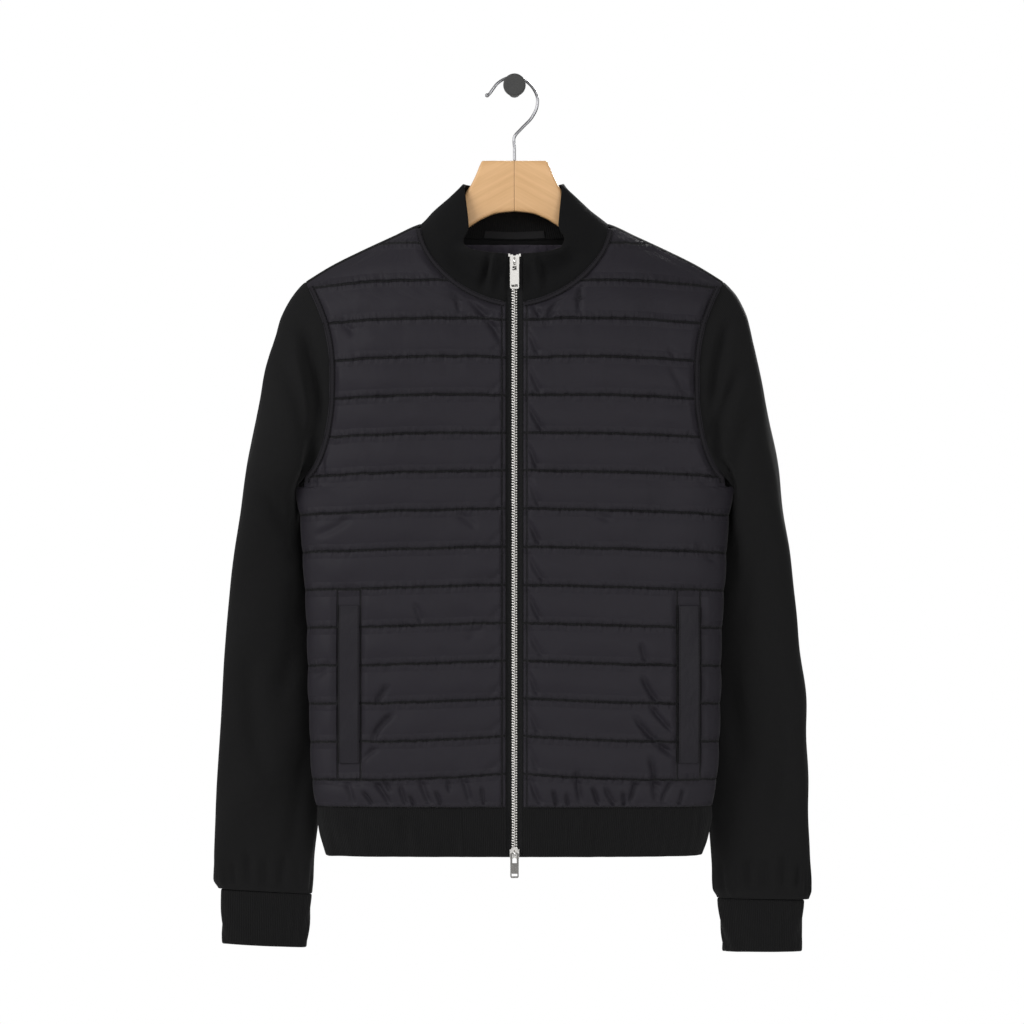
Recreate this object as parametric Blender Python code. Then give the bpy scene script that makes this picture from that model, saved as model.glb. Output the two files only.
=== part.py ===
"""A zip-front jacket with quilted fronts, knitted back, sleeves, collar and hem, hung on a wooden hanger.

Metres, +Z up, +X to the viewer's right, the front facing -Y. The origin is the middle of the wall peg's
back face. Each cloth piece is a wall of even thickness on a surface worked out from the garment's sizes,
and two pieces that are sewn together share their seam's points and the direction of their edges there.
"""

from collections import namedtuple

import bmesh
import bpy
import numpy as np
from mathutils import Vector

# Where things hang: every height is measured down from the peg's axis, so it is negative.
MIDDLE_Y = -0.078  # upright plane through the hook, the shoulder line and both side seams
SEAM_GAP = 0.0003
CLEAR_OF_BODY = 0.0036  # from the torso's side to a sleeve that hangs behind it

# Walls
QUILT_WALL = 0.003
KNIT_WALL = 0.002
DOUBLE_WALL = 0.003  # collar, hem and cuffs are folded double
LINING_WALL = 0.001
BAND_WALL = 0.001
WELT_WALL = 0.002
TAPE_WALL = 0.001

# Body
ROUNDNESS = 3.0  # superellipse power of a level section through the torso
SHOULDER_DROP = 0.180  # how far below the shoulder line the torso reaches its full depth
SHOULDER_SEAM_DROP = 0.003  # the shoulder seam lies this far below the line, on the front
NECK_SIDE = 0.097
NECK_FRONT = -0.2263
NECK_BACK = -0.160
NECK_POWER = 1.75
NECK_TOP = -0.146  # where the neckline's curve starts, at the shoulder
NECK_PAST_ZIP = 0.0007  # how far below its last row the curve would meet the middle
SHOULDER_TIP = 0.2184
UNDERARM = -0.419
HEM_SEAM = -0.7515
HEM_EDGE = -0.803
ZIP_EDGE = 0.0092  # half of the width between the two quilted edges
TAB_EDGE = 0.0534  # where the hem tab is sewn to the hem band
HEM_HALF_WIDTH = 0.203
HEM_LEVELS = (HEM_SEAM - SEAM_GAP, -0.770, -0.787, HEM_EDGE)
HEM_POINTS = 29

Section = namedtuple("Section", "height half_width half_depth")
TORSO = (
    Section(-0.130, 0.2290, 0.0460),
    Section(-0.300, 0.2290, 0.0460),
    Section(-0.419, 0.2275, 0.0460),
    Section(-0.455, 0.2225, 0.0460),
    Section(-0.496, 0.2200, 0.0460),
    Section(-0.560, 0.2160, 0.0455),
    Section(-0.656, 0.2135, 0.0450),
    Section(-0.720, 0.2105, 0.0440),
    Section(-0.7515, 0.2055, 0.0430),
    Section(-0.770, 0.2030, 0.0425),
    Section(-0.785, 0.2005, 0.0420),
    Section(-0.806, 0.1955, 0.0420),
)

Edge = namedtuple("Edge", "along value")
SHOULDER = (  # height of the shoulder line at each distance from the middle
    Edge(0.000, -0.1370),
    Edge(0.060, -0.1375),
    Edge(0.097, -0.1455),
    Edge(0.127, -0.1590),
    Edge(0.162, -0.1755),
    Edge(0.190, -0.1900),
    Edge(0.2184, -0.2085),
    Edge(0.2300, -0.2170),
)
ARMHOLE = (  # distance of the armhole seam from the middle at each height
    Edge(-0.2085, 0.2184),
    Edge(-0.2325, 0.2055),
    Edge(-0.2560, 0.1975),
    Edge(-0.2800, 0.1932),
    Edge(-0.3030, 0.1920),
    Edge(-0.3300, 0.1925),
    Edge(-0.3550, 0.1955),
    Edge(-0.3780, 0.2010),
    Edge(-0.3960, 0.2085),
    Edge(-0.4100, 0.2195),
    Edge(-0.4190, 0.2275),
)
BACK_NECK = (  # height of the back neckline at each distance from the middle
    Edge(0.000, NECK_BACK),
    Edge(0.050, -0.1575),
    Edge(0.080, -0.1525),
    Edge(0.097, -0.1455),
)

# Rows of the body's panels, level by level
YOKE_LEVELS = (-0.1490, -0.1540, -0.1620, -0.1730, -0.1860, -0.1990)
NECK_LEVELS = (-0.2115, -0.2190, -0.2240, NECK_FRONT)
ARM_LEVELS = (-0.2445, -0.2650, -0.2850, -0.3260, -0.3660, -0.3860, -0.4056, -0.4150)
BODY_LEVELS = (UNDERARM, -0.4480, -0.4870, -0.5257, -0.5660, -0.6060, -0.6470, -0.6850, -0.7220, HEM_SEAM)

# Columns of the fronts, as shares of the way from the zip to the side, and how much each one is puffed:
# wholly, not at all, or not beside the pocket welt
Column = namedtuple("Column", "share puffed by_welt")
FRONT_COLUMNS = (
    Column(0, 0, 0),
    Column(0.035, 0, 0),
    Column(0.085, 1, 1),
    Column(0.41, 1, 1),
    Column(0.70, 1, 0),
    Column(0.855, 1, 0),
    Column(0.92, 1, 1),
    Column(0.96, 0, 0),
    Column(1, 0, 0),
)
QUILT_LINES = (
    -0.1250,
    -0.1650,
    -0.2053,
    -0.2445,
    -0.2850,
    -0.3260,
    -0.3660,
    -0.4056,
    -0.4480,
    -0.4870,
    -0.5257,
    -0.5660,
    -0.6060,
    -0.6470,
    -0.6850,
    -0.7220,
    HEM_SEAM,
)
QUILT_PUFF = 0.0048  # how far a channel's crest stands out from its stitch lines
QUILT_FULLNESS = 0.6  # power of the sine across a channel: the lower, the steeper beside the stitches
CHANNEL_ROWS = (0.25, 0.75)  # rows added in each channel, as shares of its height
NARROW_FRONT = 0.060  # a front less wide than this is puffed in proportion
PUFF_START = 0.009  # from the neckline to where the puff starts, past the topstitched band
PUFF_RAMP = 0.010  # and over what distance it rises
ROW_SPACE = 0.005  # no row is added nearer than this to a seam's own row
BACK_NECK_PLACES = (0, 0.033, 0.066, 0.088)
FIRST_LEVEL_ROW = -0.275  # below this the back's rows are level

# Collar, from the zip round to the middle of the back: where its folded top edge runs
Top = namedtuple("Top", "share across forward height")
COLLAR_TOP = (
    Top(0.00, 0.0092, 0.0385, -0.1765),
    Top(0.07, 0.0190, 0.0384, -0.1760),
    Top(0.17, 0.0330, 0.0370, -0.1740),
    Top(0.30, 0.0515, 0.0315, -0.1685),
    Top(0.40, 0.0540, 0.0260, -0.1570),
    Top(0.48, 0.0485, 0.0205, -0.1360),
    Top(0.55, 0.0500, 0.0155, -0.1160),
    Top(0.60, 0.0530, 0.0095, -0.1060),
    Top(0.65, 0.0545, 0.0000, -0.1045),
    Top(0.71, 0.0530, -0.0095, -0.1045),
    Top(0.79, 0.0430, -0.0185, -0.1050),
    Top(0.89, 0.0230, -0.0275, -0.1070),
    Top(1.00, 0.0000, -0.0300, -0.1080),
)
COLLAR_RISE = (0, 0.25, 0.5, 0.75, 1)
COLLAR_HOLLOW = 0.0025  # how far its outline falls inside a straight line

# Sleeves: level sections, flattened, the inner end behind the body's side
Ring = namedtuple("Ring", "height right_outer left_outer inner outer_back inner_back half_depth tilt")
SLEEVE = (
    Ring(-0.455, 0.2835, 0.2870, 0.1860, -0.002, 0.046, 0.040, 0.018),
    Ring(-0.500, 0.2890, 0.2935, 0.1870, 0.002, 0.047, 0.034, 0.010),
    Ring(-0.550, 0.2930, 0.2990, 0.1890, 0.005, 0.046, 0.029, 0.003),
    Ring(-0.600, 0.2970, 0.3040, 0.1910, 0.008, 0.045, 0.026, 0.0),
    Ring(-0.700, 0.3040, 0.3100, 0.1970, 0.012, 0.040, 0.021, 0.0),
    Ring(-0.800, 0.3080, 0.3125, 0.2075, 0.014, 0.027, 0.0175, 0.0),
    Ring(-0.828, 0.3080, 0.3120, 0.2095, 0.014, 0.025, 0.0165, 0.0),
    Ring(-0.838, 0.3045, 0.3085, 0.2120, 0.015, 0.024, 0.0145, 0.0),
)
SLEEVE_POWER = 2.3
SLEEVE_SETBACK = 0.0012  # more room at the armhole, where the wall turns sharply at the shoulder tip
SIDE_CENTRE = 0.060  # from the torso's side to the centre that a crowded sleeve is pushed away from
CROWDED_BELOW = -0.395  # where the sleeve comes against the torso's side
CAP_SHARES = (0, 0.07, 0.17, 0.30, 0.45, 0.62, 0.80)  # rows between the armhole and the first ring
Reach = namedtuple("Reach", "lowness leave arrive out forward down")
SLEEVE_CAP = (  # how the cloth leaves the armhole, from the shoulder tip (0) to the underarm (1)
    Reach(0.0, 0.030, 0.110, 0.80, 0.00, 0.60),
    Reach(0.5, 0.034, 0.060, 0.88, 0.10, 0.45),
    Reach(0.85, 0.030, 0.034, 0.88, 0.28, 0.40),
    Reach(1.0, 0.028, 0.014, 0.90, 0.22, 0.38),
)

Cuff = namedtuple("Cuff", "height right_outer left_outer right_inner left_inner half_depth")
CUFFS = (
    Cuff(-0.8383, 0.3035, 0.3075, 0.2120, 0.2120, 0.0140),
    Cuff(-0.8600, 0.3015, 0.3065, 0.2150, 0.2145, 0.0135),
    Cuff(-0.8960, 0.3000, 0.3055, 0.2180, 0.2170, 0.0130),
)
CUFF_BACK = 0.0195  # how far a cuff's middle hangs behind MIDDLE_Y
CUFF_SLANT = 0.004  # and how much further forward its outer end is
CUFF_POINTS = 24

# Pocket welts, on both fronts
WELT_SHUT_EDGE = 0.1608
WELT_OPEN_EDGE = 0.1815
WELT_LEVELS = (-0.5420, -0.5750, -0.6080, -0.6410, -0.6740, -0.7060)
WELT_ROOM = 0.012  # the cloth is flat this far above and below it
BAND_WIDTH = 0.006  # topstitched bands beside the neckline and the armhole
BAND_SETBACK = 0.0014

# Back neck, seen through the open collar
LINING_HALF = 0.084
LINING_LEVELS = (-0.1670, -0.1740, -0.1820, -0.1920, -0.2050)
LINING_CLEAR = 0.0009
TAPE_LOOP_HALF = 0.032
TAPE_LOOP_RISE = (0.03, 0.17)  # as shares of the collar's height
TAPE_LOOP_WALL = 0.001

# Zip
CHAIN_HALF = 0.0032
CHAIN_WALL = 0.003
CHAIN_DEPTH = 0.002  # from the cloth's outer face to the chain's front
CHAIN_TOP = -0.1832
CHAIN_BOTTOM = -0.7995
TAPE_EDGE = 0.0036
TAPE_OUT = 0.014
TAPE_DEPTH = 0.0039
TAPE_TOP = -0.1772
ZIP_ROWS = 20
COLLAR_ZIP_RISE = 0.028  # over this height above the neckline the zip comes forward to the collar's edge
TAPE_BOTTOM = -0.8020
SLIDER_HALF = 0.0047
SLIDER_WALL = 0.0015
SLIDER_CLEAR = 0.0005
SLIDER_TALL = 0.0118
UPPER_SLIDER_TOP = -0.1783
LOWER_SLIDER_FOOT = -0.8048
SLIDER_BRIDGE = 0.0032
BOOLEAN_LAP = 0.0005  # how far joined blocks run into each other
BAIL_HALF = 0.0012
BAIL_REACH = 0.0036
BAIL_WALL = 0.0011
BAIL_TALL = 0.0064
STOP_NEAR = 0.0052  # from the middle to a top stop
STOP_WIDE = 0.0026
STOP_THICK = 0.0015
STOP_TALL = 0.0024
STOP_BELOW = 0.0002  # from the tape's end down to the stop
PULL_WALL = 0.0012
PULL_BAR = 0.0013

Pull = namedtuple("Pull", "half_width length window_half window_tall")
UPPER_PULL = Pull(0.0050, 0.0250, 0.0024, 0.0078)
LOWER_PULL = Pull(0.0043, 0.0182, 0.0031, 0.0130)

# Hanger, hook and peg
Slice = namedtuple("Slice", "across top foot half_depth power")
HANGER = (
    Slice(0.00015, -0.0786, -0.1315, 0.0080, 7.0),
    Slice(0.0180, -0.0786, -0.1335, 0.0080, 7.0),
    Slice(0.0335, -0.0787, -0.1395, 0.0080, 7.0),
    Slice(0.0360, -0.0830, -0.1408, 0.0080, 7.0),
    Slice(0.0395, -0.0915, -0.1430, 0.0080, 7.0),
    Slice(0.0450, -0.1030, -0.1465, 0.0080, 6.0),
    Slice(0.0515, -0.1130, -0.1510, 0.0078, 4.0),
    Slice(0.0560, -0.1230, -0.1535, 0.0076, 3.0),
    Slice(0.0640, -0.1345, -0.1590, 0.0072, 2.6),
    Slice(0.0780, -0.1465, -0.1680, 0.0068, 2.6),
    Slice(0.0900, -0.1530, -0.1750, 0.0062, 2.6),
    Slice(0.1040, -0.1560, -0.1815, 0.0060, 2.4),
    Slice(0.1270, -0.1622, -0.1925, 0.0062, 2.4),
    Slice(0.1500, -0.1733, -0.2030, 0.0056, 2.2),
    Slice(0.1750, -0.1860, -0.2130, 0.0048, 2.2),
    Slice(0.1950, -0.1975, -0.2190, 0.0040, 2.2),
    Slice(0.2040, -0.2065, -0.2180, 0.0028, 2.0),
)
HANGER_POINTS = 16
WIRE = 0.0016
WIRE_SIDES = 10
HOOK_RINGS = 44
Bend = namedtuple("Bend", "across height")
HOOK = (
    Bend(0.0000, -0.0782),
    Bend(0.0000, -0.0660),
    Bend(0.0000, -0.0536),
    Bend(0.0070, -0.0452),
    Bend(0.0182, -0.0332),
    Bend(0.0237, -0.0211),
    Bend(0.0237, -0.0119),
    Bend(0.0201, -0.0038),
    Bend(0.0130, 0.0038),
    Bend(0.0010, 0.0092),
    Bend(-0.0110, 0.0067),
    Bend(-0.0182, 0.0018),
    Bend(-0.0232, -0.0046),
    Bend(-0.0268, -0.0092),
    Bend(-0.0306, -0.0112),
)
HOOK_TIP = 0.0023  # radius of the ball at its end
PEG_STEM = 0.0070
PEG_HEAD = 0.01175
PEG_HEAD_TALL = 0.0105
PEG_HEAD_BACK = -0.0830
PEG_EDGE = 0.0012
PEG_SIDES = 32

Paint = namedtuple("Paint", "colour roughness metallic")
PAINTS = {
    "quilted_nylon": Paint((0.028, 0.027, 0.034), 0.50, 0.0),
    "black_knit": Paint((0.011, 0.011, 0.011), 0.90, 0.0),
    "lining_nylon": Paint((0.022, 0.020, 0.025), 0.45, 0.0),
    "zip_tape": Paint((0.008, 0.008, 0.009), 0.80, 0.0),
    "nickel": Paint((0.72, 0.70, 0.67), 0.25, 1.0),
    "chrome": Paint((0.80, 0.80, 0.80), 0.12, 1.0),
    "beech": Paint((0.72, 0.48, 0.26), 0.45, 0.0),
    "dark_peg": Paint((0.055, 0.054, 0.052), 0.60, 0.0),
}


def clear_scene():
    for thing in list(bpy.data.objects):
        bpy.data.objects.remove(thing, do_unlink=True)


def material(name):
    found = bpy.data.materials.get(name)
    if found:
        return found
    made = bpy.data.materials.new(name)
    made.use_nodes = True
    shader = made.node_tree.nodes["Principled BSDF"]
    shader.inputs["Base Color"].default_value = (*PAINTS[name].colour, 1)
    shader.inputs["Roughness"].default_value = PAINTS[name].roughness
    shader.inputs["Metallic"].default_value = PAINTS[name].metallic
    return made


def add_object(name, mesh, paint):
    made = bpy.data.objects.new(name, mesh)
    bpy.context.scene.collection.objects.link(made)
    mesh.materials.append(material(paint))
    return made


# ---------------------------------------------------------------- curves and surfaces


def through(rows, key, value, at):
    """A smooth curve through a table's rows that never overshoots them: cubic pieces whose slope at a row
    is the harmonic mean of the slopes on its two sides, or nothing where those differ in sign."""
    xs = np.array([getattr(row, key) for row in rows], float)
    ys = np.array([getattr(row, value) for row in rows], float)
    order = np.argsort(xs)
    xs, ys = xs[order], ys[order]
    steps = np.diff(ys) / np.diff(xs)
    before, after = steps[:-1], steps[1:]
    same = before * after > 0
    total = np.where(same, before + after, 1)
    middle = np.where(same, 2 * before * after / total, 0)
    slopes = np.concatenate([steps[:1], middle, steps[-1:]])
    at = np.clip(np.asarray(at, float), xs[0], xs[-1])
    k = np.clip(np.searchsorted(xs, at, side="right") - 1, 0, len(xs) - 2)
    span = xs[k + 1] - xs[k]
    t = (at - xs[k]) / span
    start = (1 + 2 * t) * (1 - t) ** 2 * ys[k] + t * (1 - t) ** 2 * span * slopes[k]
    end = t**2 * (3 - 2 * t) * ys[k + 1] + t**2 * (t - 1) * span * slopes[k + 1]
    return start + end


def unit(vectors):
    return vectors / np.linalg.norm(vectors, axis=-1, keepdims=True)


def half_depth(x, z):
    """How far the torso's surface stands from its middle plane: a superellipse across, times a quarter
    ellipse down from the shoulder line."""
    x = np.abs(x)
    wide = through(TORSO, "height", "half_width", z)
    deep = through(TORSO, "height", "half_depth", z)
    down = np.clip((through(SHOULDER, "along", "value", x) - z) / SHOULDER_DROP, 0, 1)
    over = np.sqrt(1 - (1 - down) ** 2)
    across = np.maximum(1 - (x / wide) ** ROUNDNESS, 0) ** (1 / ROUNDNESS)
    return deep * over * across


def on_front(x, z):
    x, z = np.broadcast_arrays(np.asarray(x, float), np.asarray(z, float))
    return np.stack([x, MIDDLE_Y - half_depth(x, z), z], axis=-1)


def on_back(x, z):
    x, z = np.broadcast_arrays(np.asarray(x, float), np.asarray(z, float))
    return np.stack([x, MIDDLE_Y + half_depth(x, z), z], axis=-1)


def neckline(z):
    """Distance of the front neckline, or of the zip edge below it, from the middle."""
    down = np.clip((NECK_TOP - z) / (NECK_TOP - NECK_FRONT + NECK_PAST_ZIP), 0, 1)
    return np.maximum(NECK_SIDE * (1 - down**NECK_POWER) ** (1 / NECK_POWER), ZIP_EDGE)


def shoulder_seam(z):
    """Distance of the shoulder seam from the middle, read back from the shoulder line."""
    places = np.linspace(0.9 * NECK_SIDE, SHOULDER_TIP, 200)
    heights = through(SHOULDER, "along", "value", places) - SHOULDER_SEAM_DROP
    return np.interp(-np.asarray(z), -heights, places)


def outer_edge(z):
    """Distance of the front's outer edge: shoulder seam, then armhole, then side seam."""
    z = np.asarray(z, float)
    tip = through(SHOULDER, "along", "value", SHOULDER_TIP) - SHOULDER_SEAM_DROP
    side = through(TORSO, "height", "half_width", z)
    arm = through(ARMHOLE, "along", "value", z)
    return np.where(z > tip, shoulder_seam(z), np.where(z > UNDERARM, arm, side))


def grid_normals(points, inside, ring=False):
    """Unit normals of a grid [row, column], from the differences both ways, turned away from inside."""
    if ring:
        wrapped = np.concatenate([points[:, -1:], points, points[:, :1]], axis=1)
        along = wrapped[:, 2:] - wrapped[:, :-2]
    else:
        along = np.gradient(points, axis=1)
    normals = unit(np.cross(along, np.gradient(points, axis=0)))
    return normals if (normals * (points - inside)).sum() > 0 else -normals


def middle_of(points):
    """The place on the torso's middle plane that each point faces away from."""
    return points * (0.8, 0, 1) + (0, MIDDLE_Y, 0)


def draw_in(points, edges):
    """The grid with the named edges pulled back along the surface by half of a seam's gap."""
    points = points.copy()
    for edge in edges:
        rim, inner = {
            "first_row": (points[0], points[1]),
            "last_row": (points[-1], points[-2]),
            "first_column": (points[:, 0], points[:, 1]),
            "last_column": (points[:, -1], points[:, -2]),
        }[edge]
        rim += unit(inner - rim) * SEAM_GAP / 2
    return points


ALL_EDGES = ("first_row", "last_row", "first_column", "last_column")


def quads(index):
    corners = (index[:-1, :-1], index[1:, :-1], index[1:, 1:], index[:-1, 1:])
    return np.stack(corners, axis=-1).reshape(-1, 4)


def strip(near, far):
    return np.stack([near[:-1], near[1:], far[1:], far[:-1]], axis=-1)


def closed_mesh(name, points, faces):
    """A mesh with its faces turned outwards."""
    mesh = bpy.data.meshes.new(name)
    mesh.from_pydata(points.reshape(-1, 3).tolist(), [], faces)
    shape = bmesh.new()
    shape.from_mesh(mesh)
    bmesh.ops.recalc_face_normals(shape, faces=shape.faces)
    if shape.calc_volume(signed=True) < 0:
        bmesh.ops.reverse_faces(shape, faces=shape.faces)
    shape.to_mesh(mesh)
    shape.free()
    mesh.shade_smooth()
    mesh.set_sharp_from_angle(angle=np.radians(40))
    return mesh


def wall(name, outer, inner, paint, ring=False):
    """A closed wall between two grids of the same size, open at its ends if it is a ring."""
    rows, columns = outer.shape[:2]
    near = np.arange(rows * columns).reshape(rows, columns)
    if ring:
        near = np.concatenate([near, near[:, :1]], axis=1)
    far = near + rows * columns
    parts = [quads(near), quads(far)[:, ::-1], strip(near[0], far[0]), strip(far[-1], near[-1])]
    if not ring:
        parts += [strip(far[:, 0], near[:, 0]), strip(near[:, -1], far[:, -1])]
    faces = np.concatenate(parts).tolist()
    points = np.concatenate([outer.reshape(-1, 3), inner.reshape(-1, 3)])
    return add_object(name, closed_mesh(name, points, faces), paint)


def mirrored(points):
    return points * (-1, 1, 1)


def laid_on(name, points, normals, lift, thick, paint):
    """A strip that lies on a panel: the panel's own points, moved out."""
    return wall(name, points + normals * (lift + thick), points + normals * lift, paint)


# ---------------------------------------------------------------- the body's panels


def front_grid():
    """The right front [row, column]: level rows from the neckline or zip edge to the outer edge."""
    levels = np.array(YOKE_LEVELS + NECK_LEVELS + ARM_LEVELS + BODY_LEVELS)
    start, end = neckline(levels)[:, None], outer_edge(levels)[:, None]
    shares = np.array([column.share for column in FRONT_COLUMNS])
    return on_front(start + (end - start) * shares, levels[:, None])


def quilted(outer, inner, normals):
    """The front's two grids with rows added on the quilt lines and in the channels, and the outer one
    puffed out between the lines. Added rows lie on the straight lines between the seams' own points."""
    levels = np.array(YOKE_LEVELS + NECK_LEVELS + ARM_LEVELS + BODY_LEVELS)
    lines = np.array(QUILT_LINES)
    in_channels = [lines[:-1] + (lines[1:] - lines[:-1]) * share for share in CHANNEL_ROWS]
    wanted = np.concatenate([lines, *in_channels])
    wanted = wanted[(wanted < levels[0]) & (wanted > levels[-1])]
    nearest = np.abs(wanted[:, None] - levels).min(axis=1)
    rows = np.sort(np.concatenate([levels, wanted[nearest > ROW_SPACE]]))[::-1]
    place = np.interp(-rows, -levels, np.arange(len(levels)))
    above = np.minimum(place.astype(int), len(levels) - 2)
    share = (place - above)[:, None, None]
    outer, inner, normals = (
        grid[above] * (1 - share) + grid[above + 1] * share for grid in (outer, inner, normals)
    )
    channel = np.interp(-rows, -lines, np.arange(len(lines))) % 1
    width = np.clip((outer[:, -1, 0] - outer[:, 0, 0]) / NARROW_FRONT, 0, 1)
    beside_welt = (rows < WELT_LEVELS[0] + WELT_ROOM) & (rows > WELT_LEVELS[-1] - WELT_ROOM)
    plain = np.array([column.puffed for column in FRONT_COLUMNS])
    by_welt = np.array([column.by_welt for column in FRONT_COLUMNS])
    across = np.where(beside_welt[:, None], by_welt, plain)
    heights = np.linspace(NECK_TOP, NECK_FRONT, 80)
    from_neck = np.hypot(
        outer[..., :1] - neckline(heights), outer[..., 2:] - heights
    ).min(axis=-1)
    past_band = np.clip((from_neck - PUFF_START) / PUFF_RAMP, 0, 1)
    swell = np.abs(np.sin(np.pi * channel)) ** QUILT_FULLNESS * width
    height = QUILT_PUFF * swell[:, None] * across * past_band
    return outer + unit(normals) * height[..., None], inner


def back_places():
    """Distances of the back's columns from the middle: across the neck, then the front's own points along
    the shoulder seam."""
    return np.concatenate([BACK_NECK_PLACES, shoulder_seam(YOKE_LEVELS), [SHOULDER_TIP]])


def back_grid():
    """The back [row, column], from side to side. Its first row is the shoulder seam, on the front, and
    the back neckline. The second and third cross the shoulder line, and the rows become level below."""
    half = back_places()
    places = np.concatenate([-half[:0:-1], half])
    line = through(SHOULDER, "along", "value", np.abs(places))
    at_neck = np.abs(places) < NECK_SIDE - 1e-6
    neck_drop = line - through(BACK_NECK, "along", "value", np.abs(places))
    start = np.where(at_neck, neck_drop, SHOULDER_SEAM_DROP)
    tip = line[0]
    edge_levels = np.array(NECK_LEVELS[1:] + ARM_LEVELS + BODY_LEVELS)
    rows = [np.where(at_neck, neck_drop, -SHOULDER_SEAM_DROP)]
    rows.append(np.where(at_neck, neck_drop + SHOULDER_SEAM_DROP / 2, 0))
    rows.append(np.where(at_neck, neck_drop + SHOULDER_SEAM_DROP, SHOULDER_SEAM_DROP))
    first = rows[2]
    edge_xs = [SHOULDER_TIP] * 3
    for level in edge_levels:
        share = min((level - tip + start[0]) / (FIRST_LEVEL_ROW - tip + start[0]), 1)
        level_drop = line - (level if share == 1 else FIRST_LEVEL_ROW)
        rows.append(first + (level_drop - first) * share)
        edge_xs.append(float(outer_edge(level)))
    drops = np.array(rows)
    x = places * (np.array(edge_xs) / SHOULDER_TIP)[:, None]
    z = through(SHOULDER, "along", "value", np.abs(x)) - np.abs(drops)
    level_rows = 3 + np.flatnonzero(edge_levels <= FIRST_LEVEL_ROW)
    z[level_rows] = edge_levels[level_rows - 3][:, None]
    z[:, 0] = np.concatenate([z[:3, 0], edge_levels])
    z[:, -1] = z[:, 0]
    depth = half_depth(x, z)
    return np.stack([x, MIDDLE_Y + np.sign(drops + 1e-12) * depth, z], axis=-1)


def armhole_loop(front, back):
    """The right armhole's seam points: shoulder line, down the front, underarm, up the back. It also
    gives, for each point, the panel that owns it and its row there."""
    first = len(YOKE_LEVELS)
    last = first + len(NECK_LEVELS) + len(ARM_LEVELS)
    owners = [("back", 1)]
    owners += [("front", row) for row in range(first, last + 1)]
    owners += [("back", row) for row in range(len(NECK_LEVELS) + len(ARM_LEVELS) + 1, 1, -1)]
    grids = {"front": front, "back": back}
    return np.array([grids[name][row, -1] for name, row in owners]), owners


def share_side_seams(normals):
    """One edge direction for both panels along the side seams and the shoulder seams."""
    front, back = normals["front"], normals["back"]
    first_front = len(YOKE_LEVELS) + len(NECK_LEVELS) + len(ARM_LEVELS)
    first_back = first_front - len(YOKE_LEVELS) + 2
    back[first_back, -1] = front[first_front, -1]  # the underarm, shared with the sleeve
    back[first_back, 0] = front[first_front, -1] * (-1, 1, 1)
    for step in range(1, len(BODY_LEVELS)):
        shared = unit(front[first_front + step, -1] + back[first_back + step, -1])
        front[first_front + step, -1] = back[first_back + step, -1] = shared
        back[first_back + step, 0] = shared * (-1, 1, 1)
    middle = len(back_places()) - 1
    for row in range(len(YOKE_LEVELS)):
        column = middle + len(BACK_NECK_PLACES) + row
        shared = unit(front[row, -1] + back[0, column])
        front[row, -1] = back[0, column] = shared
        back[0, 2 * middle - column] = shared * (-1, 1, 1)
    tip = front[len(YOKE_LEVELS), -1]
    back[0, -1] = tip
    back[0, 0] = tip * (-1, 1, 1)


# ---------------------------------------------------------------- sleeves and cuffs


def round_ring(count):
    """Cosine and sine round a ring of points, sharpened to a superellipse."""
    turn = 2 * np.pi * np.arange(count) / count
    cos, sin = np.cos(turn), np.sin(turn)
    power = 2 / SLEEVE_POWER
    return np.sign(cos) * np.abs(cos) ** power, np.sign(sin) * np.abs(sin) ** power


def sleeve_ring(row, outer, count):
    """One flattened ring: its outer end first, then its front."""
    cos, sin = round_ring(count)
    middle, reach = (outer + row.inner) / 2, (outer - row.inner) / 2
    back = (row.outer_back + row.inner_back) / 2
    slant = (row.outer_back - row.inner_back) / 2
    y = MIDDLE_Y + back + slant * cos - row.half_depth * sin
    return np.stack([middle + reach * cos, y, row.height + row.tilt * cos], axis=-1)


def clear_of_body(points, freed=1.0):
    """The points, moved straight away from a centre inside the torso's side where they would lie in the
    torso or too near to it. The clearance is whole where freed is 1, and nothing at the seam."""
    x, y, z = points[..., 0], points[..., 1] - MIDDLE_Y, points[..., 2]
    clear = CLEAR_OF_BODY * freed
    wide = through(TORSO, "height", "half_width", z) + clear
    deep = through(TORSO, "height", "half_depth", z) + clear
    centre = wide - SIDE_CENTRE
    share = np.ones_like(x)
    for _ in range(30):
        reached = np.abs((centre + (x - centre) * share) / wide) ** ROUNDNESS
        reached = reached + np.abs(y * share / deep) ** ROUNDNESS
        share = np.where((reached < 1) & (z < CROWDED_BELOW), share * 1.04, share)
    return np.stack([centre + (x - centre) * share, MIDDLE_Y + y * share, z], axis=-1)


def sleeve_grid(loop, outer_name):
    """A sleeve [row, point]: cubic curves from the armhole's points to the first ring, then ring by ring."""
    count = len(loop)
    rings = [sleeve_ring(row, getattr(row, outer_name), count) for row in SLEEVE]
    rings = clear_of_body(np.array(rings))
    lowness = (loop[:, 2] - loop[0, 2]) / (UNDERARM - loop[0, 2])
    reach = {name: through(SLEEVE_CAP, "lowness", name, lowness) for name in Reach._fields[1:]}
    facing = np.where(loop[:, 1] < MIDDLE_Y - 1e-6, -1, 1)
    away = unit(np.stack([reach["out"], facing * reach["forward"], -reach["down"]], axis=-1))
    first = loop + away * reach["leave"][:, None]
    second = rings[0] - unit(rings[1] - rings[0]) * reach["arrive"][:, None]
    t = np.array(CAP_SHARES)[:, None, None]
    cap = (1 - t) ** 3 * loop + 3 * t * (1 - t) ** 2 * first
    cap = cap + 3 * t**2 * (1 - t) * second + t**3 * rings[0]
    return np.concatenate([cap[:1], clear_of_body(cap[1:], np.clip(3 * t[1:, :, 0], 0, 1)), rings])


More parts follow.
